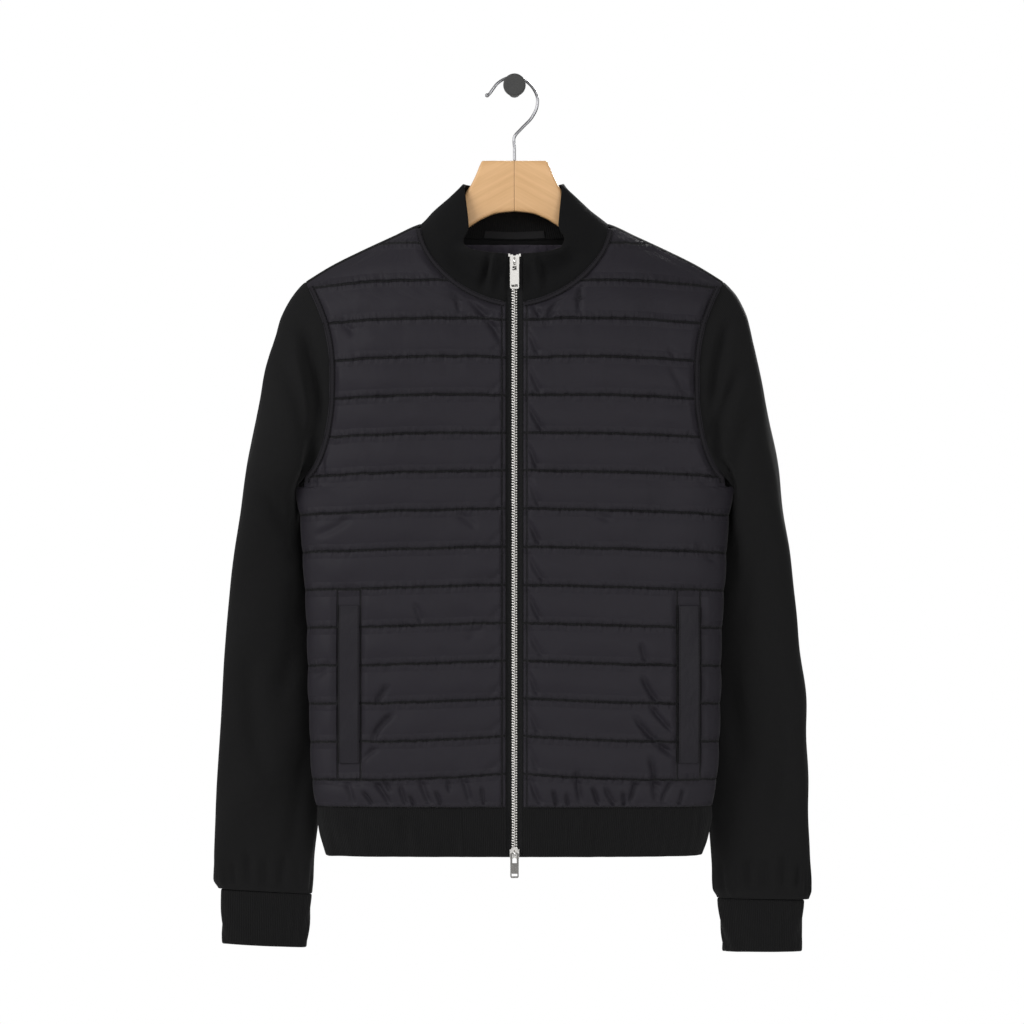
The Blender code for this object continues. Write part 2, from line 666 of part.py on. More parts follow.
def add_sleeve(side, grid, seam_directions):
    """The sleeve's two panels, front and back, which meet along its outer and its inner fold."""
    inside = grid.mean(axis=1, keepdims=True)
    normals = grid_normals(grid, inside, ring=True)
    normals[0] = seam_directions
    half = grid.shape[1] // 2
    closed = np.concatenate([grid, grid[:, :1]], axis=1)
    directions = np.concatenate([normals, normals[:, :1]], axis=1)
    for panel, columns in (("front", slice(0, half + 1)), ("back", slice(half, 2 * half + 1))):
        drawn = draw_in(closed[:, columns], ALL_EDGES)
        drawn[0] += unit(drawn[1] - drawn[0]) * SLEEVE_SETBACK
        inner = drawn - directions[:, columns] * KNIT_WALL
        if side == "left":
            drawn, inner = mirrored(drawn), mirrored(inner)
        wall(f"sleeve_{panel}_{side}", drawn, inner, "black_knit")


def add_cuff(side):
    cos, sin = round_ring(CUFF_POINTS)
    rings = []
    for row in CUFFS:
        outer, inner = getattr(row, f"{side}_outer"), getattr(row, f"{side}_inner")
        x = (outer + inner) / 2 + (outer - inner) / 2 * cos
        y = MIDDLE_Y + CUFF_BACK - CUFF_SLANT * cos - row.half_depth * sin
        rings.append(np.stack([x, y, np.full_like(x, row.height)], axis=-1))
    grid = np.array(rings)
    if side == "left":
        grid = mirrored(grid)
    normals = grid_normals(grid, grid.mean(axis=1, keepdims=True), ring=True)
    wall(f"cuff_{side}", grid, grid - normals * DOUBLE_WALL, "black_knit", ring=True)


# ---------------------------------------------------------------- collar and hem


def neck_loop(front, back):
    """The neckline's seam points from the right zip edge, over the back, to the left zip edge, with the
    panel and the place there that each belongs to."""
    zip_row = len(YOKE_LEVELS) + len(NECK_LEVELS) - 1
    owners = [("front", row, 0, 1) for row in range(zip_row, -1, -1)]
    middle = len(back_places()) - 1
    count = len(BACK_NECK_PLACES)
    owners += [("back", 0, middle + step, 1) for step in range(count - 1, -count, -1)]
    owners += [("front", row, 0, -1) for row in range(zip_row + 1)]
    grids = {"front": front, "back": back}
    points = [grids[name][row, column] * (side, 1, 1) for name, row, column, side in owners]
    return np.array(points), owners


def collar_grid(base):
    """The collar [row, column]: from the neckline up to its folded edge, falling a little inside the
    straight line between them."""
    half = len(base) // 2
    lengths = np.linalg.norm(np.diff(base[: half + 1], axis=0), axis=1)
    shares = np.concatenate([[0], np.cumsum(lengths)]) / lengths.sum()
    across = through(COLLAR_TOP, "share", "across", shares)
    forward = through(COLLAR_TOP, "share", "forward", shares)
    height = through(COLLAR_TOP, "share", "height", shares)
    side = np.stack([across, MIDDLE_Y - forward, height], axis=-1)
    top = np.concatenate([side, mirrored(side[-2::-1])])
    rise = np.array(COLLAR_RISE)[:, None, None]
    grid = base + (top - base) * rise
    centre = np.array([0, MIDDLE_Y, 0])
    inward = unit((centre - grid) * (1, 1, 0))
    to_side = np.clip(np.abs(grid[..., :1]) / NECK_SIDE, 0, 1) ** 2
    return grid + inward * COLLAR_HOLLOW * to_side * 4 * rise * (1 - rise)


def add_collar(grid, seam_directions):
    normals = grid_normals(grid, grid * (0.3, 0, 1) + (0, MIDDLE_Y, 0))
    normals[0] = seam_directions
    drawn = draw_in(grid, ALL_EDGES)
    wall("collar", drawn, drawn - normals * DOUBLE_WALL, "black_knit")
    middle = grid.shape[1] // 2
    near = grid[:, middle - 1 : middle + 2]
    facing = normals[:, middle - 1 : middle + 2]
    shares = TAPE_LOOP_HALF / abs(grid[0, middle + 1, 0])
    points = []
    directions = []
    for rise in TAPE_LOOP_RISE:
        place = rise * (len(grid) - 1)
        row = int(place)
        mix = place - row
        line = near[row] * (1 - mix) + near[row + 1] * mix
        turned = facing[row] * (1 - mix) + facing[row + 1] * mix
        ends = line[1] + (line - line[1]) * shares
        points.append(ends)
        directions.append(turned)
    points, directions = np.array(points), unit(np.array(directions))
    lift = -DOUBLE_WALL - 2 * SEAM_GAP - TAPE_LOOP_WALL
    laid_on("neck_tape", points, directions, lift, TAPE_LOOP_WALL, "lining_nylon")


def add_back_lining():
    """The nylon under the back neckline, lying against the back's inner face."""
    places = np.linspace(-LINING_HALF, LINING_HALF, 9)
    grid = on_back(places, np.array(LINING_LEVELS)[:, None])
    normals = grid_normals(grid, middle_of(grid))
    lift = -KNIT_WALL - LINING_CLEAR - LINING_WALL
    laid_on("back_neck_lining", grid, normals, lift, LINING_WALL, "lining_nylon")


def ring_angles():
    """Angles round the hem band from its seam with one tab, over the back, to the other."""
    start = np.arcsin((TAB_EDGE / HEM_HALF_WIDTH) ** (ROUNDNESS / 2))
    return np.linspace(start, 2 * np.pi - start, HEM_POINTS)


def add_hem():
    levels = np.array(HEM_LEVELS)
    wide = through(TORSO, "height", "half_width", levels)[:, None]
    deep = through(TORSO, "height", "half_depth", levels)[:, None]
    sin, cos = np.sin(ring_angles()), np.cos(ring_angles())
    power = 2 / ROUNDNESS
    x = wide * np.sign(sin) * np.abs(sin) ** power
    y = MIDDLE_Y - deep * np.sign(cos) * np.abs(cos) ** power
    grid = np.stack([x, y, np.broadcast_to(levels[:, None], x.shape)], axis=-1)
    normals = grid_normals(grid, middle_of(grid))
    drawn = draw_in(grid, ALL_EDGES)
    wall("hem_band", drawn, drawn - normals * DOUBLE_WALL, "black_knit")
    share = np.linspace(0, 1, 4)
    start, end = ZIP_EDGE, grid[:, 0, :1]
    tab = on_front(start + (end - start) * share, levels[:, None])
    tab[:, -1] = grid[:, 0]
    tab_normals = grid_normals(tab, middle_of(tab))
    tab_normals[:, -1] = normals[:, 0]
    tab = draw_in(tab, ALL_EDGES)
    tab_inner = tab - tab_normals * DOUBLE_WALL
    wall("hem_tab_right", tab, tab_inner, "black_knit")
    wall("hem_tab_left", mirrored(tab), mirrored(tab_inner), "black_knit")


# ---------------------------------------------------------------- what is sewn on the fronts


def add_welts():
    share = np.array([0, 0.5, 1])
    x = WELT_SHUT_EDGE + (WELT_OPEN_EDGE - WELT_SHUT_EDGE) * share
    grid = on_front(x, np.array(WELT_LEVELS)[:, None])
    normals = grid_normals(grid, middle_of(grid))
    lower, upper = grid + normals * SEAM_GAP, grid + normals * (SEAM_GAP + WELT_WALL)
    wall("pocket_welt_right", upper, lower, "quilted_nylon")
    wall("pocket_welt_left", mirrored(upper), mirrored(lower), "quilted_nylon")


def add_bands(front):
    """Narrow topstitched bands on the front, along the neckline and along the armhole."""
    first = len(YOKE_LEVELS)
    neck = front[1 : first + len(NECK_LEVELS), 0]
    arm = front[first : first + len(NECK_LEVELS) + len(ARM_LEVELS) - 1, -1]
    for name, edge, way in (("neck_band", neck, 1), ("armhole_band", arm, -1)):
        run = np.gradient(edge[:, [0, 2]], axis=0)
        aside = unit(np.stack([-run[:, 1], run[:, 0]], axis=-1)) * way
        if name == "neck_band":
            aside[-1] = (0, -1)
        places = edge[:, [0, 2]]
        near = places + aside * BAND_SETBACK
        far = places + aside * BAND_WIDTH
        if name == "neck_band":
            near[:, 0] = np.maximum(near[:, 0], ZIP_EDGE + SEAM_GAP)
            far[:, 0] = np.maximum(far[:, 0], ZIP_EDGE + SEAM_GAP)
        flat = np.stack([near, far], axis=1)
        grid = on_front(flat[..., 0], flat[..., 1])
        normals = grid_normals(grid, middle_of(grid))
        lower = grid + normals * SEAM_GAP * 2
        upper = lower + normals * BAND_WALL
        wall(f"{name}_right", upper, lower, "black_knit")
        wall(f"{name}_left", mirrored(upper), mirrored(lower), "black_knit")


# ---------------------------------------------------------------- zip


def zip_front(z):
    """How far forward the cloth's outer face is beside the zip: the torso, then the collar's edge."""
    z = np.asarray(z, float)
    torso = half_depth(0.0, np.minimum(z, NECK_FRONT))
    top = COLLAR_TOP[0].forward
    share = np.clip((z - NECK_FRONT) / COLLAR_ZIP_RISE, 0, 1)
    return torso + (top - torso) * share * share * (3 - 2 * share)


def zip_strip(name, near, far, top, foot, depth, thick, paint):
    """A strip that follows the zip's line, from near to far sideways, depth behind the cloth's face."""
    levels = np.linspace(top, foot, ZIP_ROWS)
    y = MIDDLE_Y - zip_front(levels) + depth
    edges = np.array([near, far])
    outer = np.stack(np.broadcast_arrays(edges, y[:, None], levels[:, None]), axis=-1)
    inner = outer + (0, thick, 0)
    wall(f"{name}_right", outer, inner, paint)
    wall(f"{name}_left", mirrored(outer), mirrored(inner), paint)


def block(low, high):
    """A box's mesh data between two corners."""
    shape = bmesh.new()
    bmesh.ops.create_cube(shape, size=1)
    for corner in shape.verts:
        share = corner.co + Vector((0.5, 0.5, 0.5))
        corner.co = [a + (b - a) * s for a, b, s in zip(low, high, share)]
    mesh = bpy.data.meshes.new("block")
    shape.to_mesh(mesh)
    shape.free()
    return mesh


def combined(name, pieces, cuts, paint, edge=0.0002):
    """Boxes joined by a union, less the boxes in cuts, with small bevels."""
    base = add_object(name, block(*pieces[0]), paint)
    steps = [(piece, "UNION") for piece in pieces[1:]] + [(cut, "DIFFERENCE") for cut in cuts]
    for number, (corners, operation) in enumerate(steps):
        helper = add_object(f"{name}_helper_{number}", block(*corners), paint)
        helper.hide_render = True
        helper.display_type = "WIRE"
        change = base.modifiers.new(operation.lower(), "BOOLEAN")
        change.operation = operation
        change.object = helper
    rounding = base.modifiers.new("edges", "BEVEL")
    rounding.width = edge
    rounding.segments = 1
    rounding.limit_method = "ANGLE"
    return base


def slider_planes(level):
    """Front of the front plate, its back, front of the back plate, and its back, at one slider."""
    face = float(MIDDLE_Y - zip_front(level) + CHAIN_DEPTH)
    front_plate = face - SLIDER_CLEAR
    back_plate = face + CHAIN_WALL + SLIDER_CLEAR
    return front_plate - SLIDER_WALL, front_plate, back_plate, back_plate + SLIDER_WALL


def add_slider(name, top, bridge_at_top, bail_level):
    foot = top - SLIDER_TALL
    a, b, c, d = slider_planes((top + foot) / 2)
    plate = ((-SLIDER_HALF, a, foot), (SLIDER_HALF, b, top))
    rear = ((-SLIDER_HALF, c, foot), (SLIDER_HALF, d, top))
    near = top - SLIDER_BRIDGE if bridge_at_top else foot
    reach = TAPE_EDGE - SEAM_GAP * 2
    bridge = ((-reach, a + BOOLEAN_LAP, near), (reach, d - BOOLEAN_LAP, near + SLIDER_BRIDGE))
    high, low = bail_level + BAIL_TALL / 2, bail_level - BAIL_TALL / 2
    over = ((-BAIL_HALF, a - BAIL_REACH, low), (BAIL_HALF, a - BAIL_REACH + BAIL_WALL, high))
    upper_leg = ((-BAIL_HALF, a - BAIL_REACH, high - BAIL_WALL), (BAIL_HALF, a + BOOLEAN_LAP, high))
    lower_leg = ((-BAIL_HALF, a - BAIL_REACH, low), (BAIL_HALF, a + BOOLEAN_LAP, low + BAIL_WALL))
    combined(name, (plate, rear, bridge, over, upper_leg, lower_leg), (), "nickel", edge=0.00015)
    return a


def add_pull(name, shape, plate_front, axis_level):
    """A flat pull hanging by its top bar, which lies between the slider's plate and its bail."""
    axis_y = plate_front - (BAIL_REACH - BAIL_WALL) / 2
    top = PULL_BAR / 2
    body = (
        (-shape.half_width, -PULL_WALL / 2, top - shape.length),
        (shape.half_width, PULL_WALL / 2, top),
    )
    window = (
        (-shape.window_half, -PULL_WALL, -PULL_BAR / 2 - shape.window_tall),
        (shape.window_half, PULL_WALL, -PULL_BAR / 2),
    )
    made = combined(name, (body,), (window,), "nickel", edge=0.0002)
    for thing in (made, made.modifiers[0].object):
        thing.location = (0, axis_y, axis_level)


def add_stops():
    y = float(MIDDLE_Y - zip_front(TAPE_TOP)) + QUILT_WALL
    for side, name in ((1, "right"), (-1, "left")):
        xs = sorted((side * STOP_NEAR, side * (STOP_NEAR + STOP_WIDE)))
        high = (xs[1], y, TAPE_TOP - STOP_BELOW)
        low = (xs[0], y - STOP_THICK, TAPE_TOP - STOP_BELOW - STOP_TALL)
        combined(f"top_stop_{name}", ((low, high),), (), "nickel")


def add_zip():
    zip_strip("zip_tape", TAPE_EDGE, TAPE_OUT, TAPE_TOP, TAPE_BOTTOM, TAPE_DEPTH, TAPE_WALL, "zip_tape")
    gap = SEAM_GAP / 2
    zip_strip("zip_chain", gap, CHAIN_HALF, CHAIN_TOP, CHAIN_BOTTOM, CHAIN_DEPTH, CHAIN_WALL, "nickel")
    upper_bail = UPPER_SLIDER_TOP - SLIDER_TALL / 2
    front = add_slider("upper_slider", UPPER_SLIDER_TOP, True, upper_bail)
    add_pull("upper_pull", UPPER_PULL, front, upper_bail)
    lower_bail = LOWER_SLIDER_FOOT + SLIDER_TALL / 2
    front = add_slider("lower_slider", LOWER_SLIDER_FOOT + SLIDER_TALL, False, lower_bail)
    add_pull("lower_pull", LOWER_PULL, front, lower_bail)
    add_stops()


# ---------------------------------------------------------------- hanger, hook and peg


def loft(name, rings, paint):
    """A closed solid through rings of points, with flat ends."""
    rows, columns = rings.shape[:2]
    index = np.arange(rows * columns).reshape(rows, columns)
    around = np.concatenate([index, index[:, :1]], axis=1)
    faces = quads(around).tolist() + [index[0].tolist(), index[-1, ::-1].tolist()]
    return add_object(name, closed_mesh(name, rings, faces), paint)


def add_hanger():
    turn = 2 * np.pi * (np.arange(HANGER_POINTS) + 0.5) / HANGER_POINTS
    rings = []
    for row in HANGER:
        sin, cos = np.sin(turn), np.cos(turn)
        y = row.half_depth * np.sign(cos) * np.abs(cos) ** (2 / row.power)
        z = (row.top - row.foot) / 2 * np.sign(sin) * np.abs(sin) ** (2 / row.power)
        y = MIDDLE_Y + y / np.abs(y).max() * row.half_depth
        z = (row.top + row.foot) / 2 + z / np.abs(z).max() * (row.top - row.foot) / 2
        rings.append(np.stack([np.full_like(y, row.across), y, z], axis=-1))
    rings = np.array(rings)
    loft("hanger_right", rings, "beech")
    loft("hanger_left", mirrored(rings), "beech")


def add_hook():
    """A round wire along a smooth curve through its bends, with a ball at its free end."""
    bends = np.array([(bend.across, bend.height) for bend in HOOK])
    lengths = np.linalg.norm(np.diff(bends, axis=0), axis=1)
    run = np.concatenate([[0], np.cumsum(lengths)])
    at = np.linspace(0, run[-1], HOOK_RINGS)
    slopes = np.gradient(bends, run, axis=0)
    k = np.clip(np.searchsorted(run, at, side="right") - 1, 0, len(bends) - 2)
    span = (run[k + 1] - run[k])[:, None]
    t = (at - run[k])[:, None] / span
    path = (1 + 2 * t) * (1 - t) ** 2 * bends[k] + t * (1 - t) ** 2 * span * slopes[k]
    path = path + t**2 * (3 - 2 * t) * bends[k + 1] + t**2 * (t - 1) * span * slopes[k + 1]
    tangent = unit(np.gradient(path, axis=0))
    to_end = run[-1] - at
    ball = np.sqrt(np.maximum(HOOK_TIP**2 - (to_end - HOOK_TIP) ** 2, 0))
    radius = np.maximum(np.where(to_end > HOOK_TIP, WIRE, WIRE / 4), ball)
    turn = 2 * np.pi * np.arange(WIRE_SIDES) / WIRE_SIDES
    aside = np.stack([tangent[:, 1], np.zeros(len(at)), -tangent[:, 0]], axis=-1)
    centre = np.stack([path[:, 0], np.full(len(at), MIDDLE_Y), path[:, 1]], axis=-1)
    across = aside[:, None] * np.cos(turn)[:, None] + np.array([0, 1, 0]) * np.sin(turn)[:, None]
    loft("hook", centre[:, None] + across * radius[:, None, None], "chrome")


def add_peg():
    """A turned stem with a round head, on the Y axis, flat at the wall and at its face."""
    front = PEG_HEAD_BACK - PEG_HEAD_TALL
    profile = np.array(
        [
            (PEG_STEM, 0),
            (PEG_STEM, PEG_HEAD_BACK),
            (PEG_HEAD - PEG_EDGE, PEG_HEAD_BACK),
            (PEG_HEAD, PEG_HEAD_BACK - PEG_EDGE),
            (PEG_HEAD, front + PEG_EDGE),
            (PEG_HEAD - PEG_EDGE, front),
        ]
    )
    turn = 2 * np.pi * np.arange(PEG_SIDES) / PEG_SIDES
    x = profile[:, :1] * np.cos(turn)
    z = profile[:, :1] * np.sin(turn)
    y = np.broadcast_to(profile[:, 1:], x.shape)
    loft("wall_peg", np.stack([x, y, z], axis=-1), "dark_peg")


# ---------------------------------------------------------------- the whole jacket


def main():
    clear_scene()
    front, back = front_grid(), back_grid()
    front_normals = grid_normals(front, middle_of(front))
    back_normals = grid_normals(back, back * (0.8, 0, 0.97) + (0, MIDDLE_Y, -0.012))
    normals = {"front": front_normals, "back": back_normals}

    loop, owners = armhole_loop(front, back)
    sleeves = {side: sleeve_grid(loop, f"{side}_outer") for side in ("right", "left")}
    seams = {}
    for side, grid in sleeves.items():
        own = grid_normals(grid, grid.mean(axis=1, keepdims=True), ring=True)[0]
        body = np.array([normals[name][row, -1] for name, row in owners])
        seams[side] = unit(own + body)
    for (name, row), direction in zip(owners, seams["right"]):
        normals[name][row, -1] = direction
        if name == "back":
            normals[name][row, 0] = direction * (-1, 1, 1)

    share_side_seams(normals)

    base, places = neck_loop(front, back)
    collar = collar_grid(base)
    own = grid_normals(collar, collar * (0.3, 0, 1) + (0, MIDDLE_Y, 0))[0]
    body = np.array([normals[name][row, column] * (side, 1, 1) for name, row, column, side in places])
    neck_seam = unit(own + body)
    for (name, row, column, side), direction in zip(places, neck_seam):
        normals[name][row, column] = direction * (side, 1, 1)

    drawn = draw_in(front, ALL_EDGES)
    puffed, inner = quilted(drawn, drawn - normals["front"] * QUILT_WALL, normals["front"])
    wall("front_right", puffed, inner, "quilted_nylon")
    wall("front_left", mirrored(puffed), mirrored(inner), "quilted_nylon")
    drawn = draw_in(back, ALL_EDGES)
    wall("back", drawn, drawn - normals["back"] * KNIT_WALL, "black_knit")
    for side, grid in sleeves.items():
        add_sleeve(side, grid, seams[side])
        add_cuff(side)
    add_collar(collar, neck_seam)
    add_back_lining()
    add_hem()
    add_welts()
    add_bands(front)
    add_zip()
    add_hanger()
    add_hook()
    add_peg()


main()
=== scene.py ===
"""The quilted jacket on its hanger, dressed for the camera: every piece of cloth is a closed wall on a
surface worked out from the garment's sizes, with its padding, seams, creases and stitches."""

from collections import namedtuple

import bpy
import numpy as np
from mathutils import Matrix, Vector


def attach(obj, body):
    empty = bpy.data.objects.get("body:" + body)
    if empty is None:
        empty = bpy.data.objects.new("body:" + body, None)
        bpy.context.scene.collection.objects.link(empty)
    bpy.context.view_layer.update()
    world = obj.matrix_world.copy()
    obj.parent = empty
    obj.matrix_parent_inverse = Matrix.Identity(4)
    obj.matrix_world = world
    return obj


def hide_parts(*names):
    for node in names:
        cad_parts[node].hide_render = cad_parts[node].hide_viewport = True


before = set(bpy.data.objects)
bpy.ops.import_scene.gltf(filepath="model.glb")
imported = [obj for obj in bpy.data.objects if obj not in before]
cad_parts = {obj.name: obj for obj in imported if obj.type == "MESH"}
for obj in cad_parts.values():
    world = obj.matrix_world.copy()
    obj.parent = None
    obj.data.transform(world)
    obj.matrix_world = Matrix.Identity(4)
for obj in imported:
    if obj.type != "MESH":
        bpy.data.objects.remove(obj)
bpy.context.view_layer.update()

# ---------------------------------------------------------------- sizes, from the peg's axis
# In metres, but for the tables that say in_millimetres.

MIDDLE_Y = -0.078
QUILT_WALL = 0.003
KNIT_WALL = 0.002
DOUBLE_WALL = 0.003
SEAM_GAP = 0.0003

ROUNDNESS = 3.0
SHOULDER_DROP = 0.180
SHOULDER_SEAM_DROP = 0.003
NECK_SIDE = 0.097
NECK_TOP = -0.146
NECK_FRONT = -0.2263
NECK_PAST_ZIP = 0.0007
NECK_POWER = 1.75
SHOULDER_TIP = 0.2184
UNDERARM = -0.419
HEM_SEAM = -0.7515
HEM_EDGE = -0.803
ZIP_EDGE = 0.0092
TAB_EDGE = 0.0534
HEM_HALF_WIDTH = 0.203
HEM_HALF_DEPTH = 0.0425


def rows_of(kind, *rows):
    """A table: each row becomes the given kind of named tuple."""
    return tuple(kind(*row) for row in rows)


def in_millimetres(kind, *rows):
    """A table whose every number is a length, written in millimetres."""
    return rows_of(kind, *([value / 1000 for value in row] for row in rows))


Section = namedtuple("Section", "height half_width half_depth")
TORSO = in_millimetres(
    Section,
    (-130, 229, 46), (-300, 229, 46), (-419, 227.5, 46), (-455, 222.5, 46), (-496, 220, 46),
    (-560, 216, 45.5), (-656, 213.5, 45), (-720, 210.5, 44), (-751.5, 205.5, 43), (-770, 203, 42.5),
    (-785, 200.5, 42), (-806, 195.5, 42),
)
Edge = namedtuple("Edge", "along value")
SHOULDER = in_millimetres(
    Edge,
    (0, -137), (60, -137), (97, -144), (127, -157.3), (162, -173.5), (190, -187.5), (218.4, -205),
    (230, -213),
)
ARMHOLE = in_millimetres(
    Edge,
    (-205, 218.4), (-232.5, 205.5), (-256, 197.5), (-280, 193.2), (-303, 192), (-330, 192.5),
    (-355, 195.5), (-378, 201), (-396, 208.5), (-410, 219.5), (-419, 227.5),
)
BACK_NECK = in_millimetres(
    Edge,
    (0, -160), (50, -157.5), (80, -152.5), (97, -144),
)
Top = namedtuple("Top", "share across forward height")
COLLAR_TOP = rows_of(
    Top,
    (0.00, 0.0092, 0.0385, -0.1765), (0.07, 0.0190, 0.0385, -0.1762), (0.17, 0.0330, 0.0372, -0.1745),
    (0.30, 0.0500, 0.0320, -0.1685), (0.38, 0.0530, 0.0275, -0.1610), (0.44, 0.0467, 0.0235, -0.1480),
    (0.49, 0.0478, 0.0205, -0.1340), (0.55, 0.0510, 0.0155, -0.1130), (0.60, 0.0530, 0.0095, -0.1030),
    (0.65, 0.0535, 0.0000, -0.1015), (0.71, 0.0520, -0.0095, -0.1020), (0.79, 0.0425, -0.0185, -0.1040),
    (0.89, 0.0230, -0.0275, -0.1065), (1.00, 0.0000, -0.0300, -0.1080),
)
COLLAR_LEAN = 0.0013
COLLAR_HOLLOW = 0.0025

Ring = namedtuple("Ring", "height right_outer left_outer inner outer_back inner_back half_depth tilt")
SLEEVE = in_millimetres(
    Ring,
    (-455, 283.5, 287, 186, -2, 46, 40, 18), (-500, 289, 293.5, 187, 2, 47, 34, 10),
    (-550, 293, 299, 189, 5, 46, 29, 3), (-600, 297, 304, 191, 8, 45, 26, 0),
    (-700, 304, 310, 197, 12, 40, 21, 0), (-800, 308, 312.5, 207.5, 14, 27, 17.5, 0),
    (-828, 308, 312, 209.5, 14, 25, 16.5, 0), (-838, 304.5, 308.5, 212, 15, 24, 14.5, 0),
)
SLEEVE_POWER = 2.3
CLEAR_OF_BODY = 0.0036
SIDE_CENTRE = 0.060
CROWDED_BELOW = -0.395
Reach = namedtuple("Reach", "lowness leave arrive out forward down tuck")
SLEEVE_CAP = rows_of(
    Reach,
    (0.0, 0.045, 0.105, 0.78, 0.00, 0.62, 1.0), (0.5, 0.034, 0.060, 0.88, 0.00, 0.45, 0.0),
    (0.72, 0.020, 0.034, 0.72, -0.25, 0.60, 0.0), (0.88, 0.010, 0.016, 0.45, -0.45, 0.80, 0.0),
    (1.0, 0.006, 0.010, 0.30, 0.00, 0.95, 0.0),
)
SLEEVE_REACH = {"left": 1.0, "right": 0.84}
VALLEY = in_millimetres(
    Edge,
    (-430, 228), (-410, 223.5), (-390, 216), (-370, 209.5), (-339, 206), (-308, 209.6), (-275, 216.5),
    (-245, 222),
)
VALLEY_STEP = {"left": 0.0150, "right": 0.0045}
SLEEVE_TUCK = {"left": 0.0055, "right": 0.0085}
Cuff = namedtuple("Cuff", "height right_outer left_outer right_inner left_inner half_depth")
CUFFS = in_millimetres(
    Cuff,
    (-838.3, 303.5, 307.5, 212, 212, 14), (-860, 301.5, 306.5, 215, 214.5, 13.5),
    (-896, 300, 305.5, 218, 217, 13),
)
CUFF_BACK = 0.0195
CUFF_SLANT = 0.004

Slice = namedtuple("Slice", "across top foot half_depth power")
HANGER = rows_of(
    Slice,
    (0.0, -0.0786, -0.1315, 0.0080, 7.0), (0.0180, -0.0786, -0.1335, 0.0080, 7.0),
    (0.0335, -0.0787, -0.1395, 0.0080, 7.0), (0.0360, -0.0830, -0.1408, 0.0080, 7.0),
    (0.0395, -0.0915, -0.1430, 0.0080, 7.0), (0.0450, -0.1030, -0.1465, 0.0080, 6.0),
    (0.0515, -0.1130, -0.1510, 0.0078, 4.0), (0.0560, -0.1230, -0.1535, 0.0076, 3.0),
    (0.0640, -0.1345, -0.1590, 0.0072, 2.6), (0.0780, -0.1465, -0.1680, 0.0068, 2.6),
    (0.0900, -0.1530, -0.1750, 0.0062, 2.6), (0.1040, -0.1560, -0.1815, 0.0060, 2.4),
    (0.1270, -0.1622, -0.1925, 0.0062, 2.4), (0.1500, -0.1733, -0.2030, 0.0056, 2.2),
    (0.1750, -0.1860, -0.2130, 0.0048, 2.2), (0.1950, -0.1975, -0.2190, 0.0040, 2.2),
    (0.2040, -0.2065, -0.2180, 0.0028, 2.0),
)
WIRE = 0.0016
Bend = namedtuple("Bend", "across height")
HOOK = in_millimetres(
    Bend,
    (0, -78.2), (0, -66), (0, -53.6), (7, -45.2), (18.2, -33.2), (23.7, -21.1), (23.7, -11.9),
    (20.1, -3.8), (13, 3.8), (1, 9.2), (-11, 6.7), (-18.2, 1.8), (-23.2, -4.6), (-26.8, -9.2),
    (-30.6, -11.2),
)
HOOK_TIP = 0.0023

# Zip
CHAIN_DEPTH = 0.002
CHAIN_TOP = -0.1832
CHAIN_BOTTOM = -0.7995
TAPE_EDGE = 0.0024
TAPE_OUT = 0.0140
TAPE_DEPTH = 0.0039
TAPE_TOP = -0.1772
TAPE_BOTTOM = -0.8032
TAPE_WALL = 0.001
COLLAR_ZIP_RISE = 0.028
SLIDER_WALL = 0.0015
SLIDER_CLEAR = 0.0005
SLIDER_TALL = 0.0118
CHAIN_WALL = 0.003
UPPER_SLIDER_TOP = -0.1783
LOWER_SLIDER_FOOT = -0.8048
BAIL_REACH = 0.0036
BAIL_WALL = 0.0011
PULL_BAR = 0.0013
PULL_WALL = 0.0012

# ---------------------------------------------------------------- curves and surfaces of the garment


def through(rows, value, at):
    """One column of a table against its first, as a smooth curve that never overshoots the rows: cubic
    pieces whose slope at a row is the harmonic mean of the slopes on its two sides, or nothing where those
    differ in sign."""
    xs = np.array([row[0] for row in rows], float)
    ys = np.array([getattr(row, value) for row in rows], float)
    order = np.argsort(xs)
    xs, ys = xs[order], ys[order]
    steps = np.diff(ys) / np.diff(xs)
    before, after = steps[:-1], steps[1:]
    same = before * after > 0
    total = np.where(same, before + after, 1)
    middle = np.where(same, 2 * before * after / total, 0)
    slopes = np.concatenate([steps[:1], middle, steps[-1:]])
    at = np.clip(np.asarray(at, float), xs[0], xs[-1])
    k = np.clip(np.searchsorted(xs, at, side="right") - 1, 0, len(xs) - 2)
    span = xs[k + 1] - xs[k]
    t = (at - xs[k]) / span
    start = (1 + 2 * t) * (1 - t) ** 2 * ys[k] + t * (1 - t) ** 2 * span * slopes[k]
    end = t**2 * (3 - 2 * t) * ys[k + 1] + t**2 * (t - 1) * span * slopes[k + 1]
    return start + end


def read_all(rows, at):
    """Every column of a table against its first, each as a column of numbers."""
    return {key: through(rows, key, at)[:, None] for key in rows[0]._fields[1:]}


def summed(steps):
    """The sum of the steps up to each place, from nothing."""
    return np.concatenate([[0], np.cumsum(steps)])


def run_along(path):
    """The length along a path up to each of its points."""
    return summed(np.linalg.norm(np.diff(path, axis=0), axis=1))


def turns(count):
    """Angles at even steps once round."""
    return np.linspace(0, 2 * np.pi, count, endpoint=False)


def squared(value, power):
    """A cosine or sine raised to a power with its sign kept, which turns a circle into a superellipse."""
    return np.sign(value) * np.abs(value) ** power


def grid_of(*values):
    """Points, or rows of numbers, from arrays that spread over each other."""
    return np.stack(np.broadcast_arrays(*values), axis=-1)


def unit(vectors):
    """The vectors at a length of one."""
    return vectors / np.maximum(np.linalg.norm(vectors, axis=-1, keepdims=True), 1e-12)


def rise(value, low, high):
    """Nothing below low, one above high, and a smooth S between."""
    t = np.clip((value - low) / (high - low), 0, 1)
    return t * t * (3 - 2 * t)


def shoulder_line(x):
    """Height of the shoulder line at a distance from the middle."""
    return through(SHOULDER, "value", x)


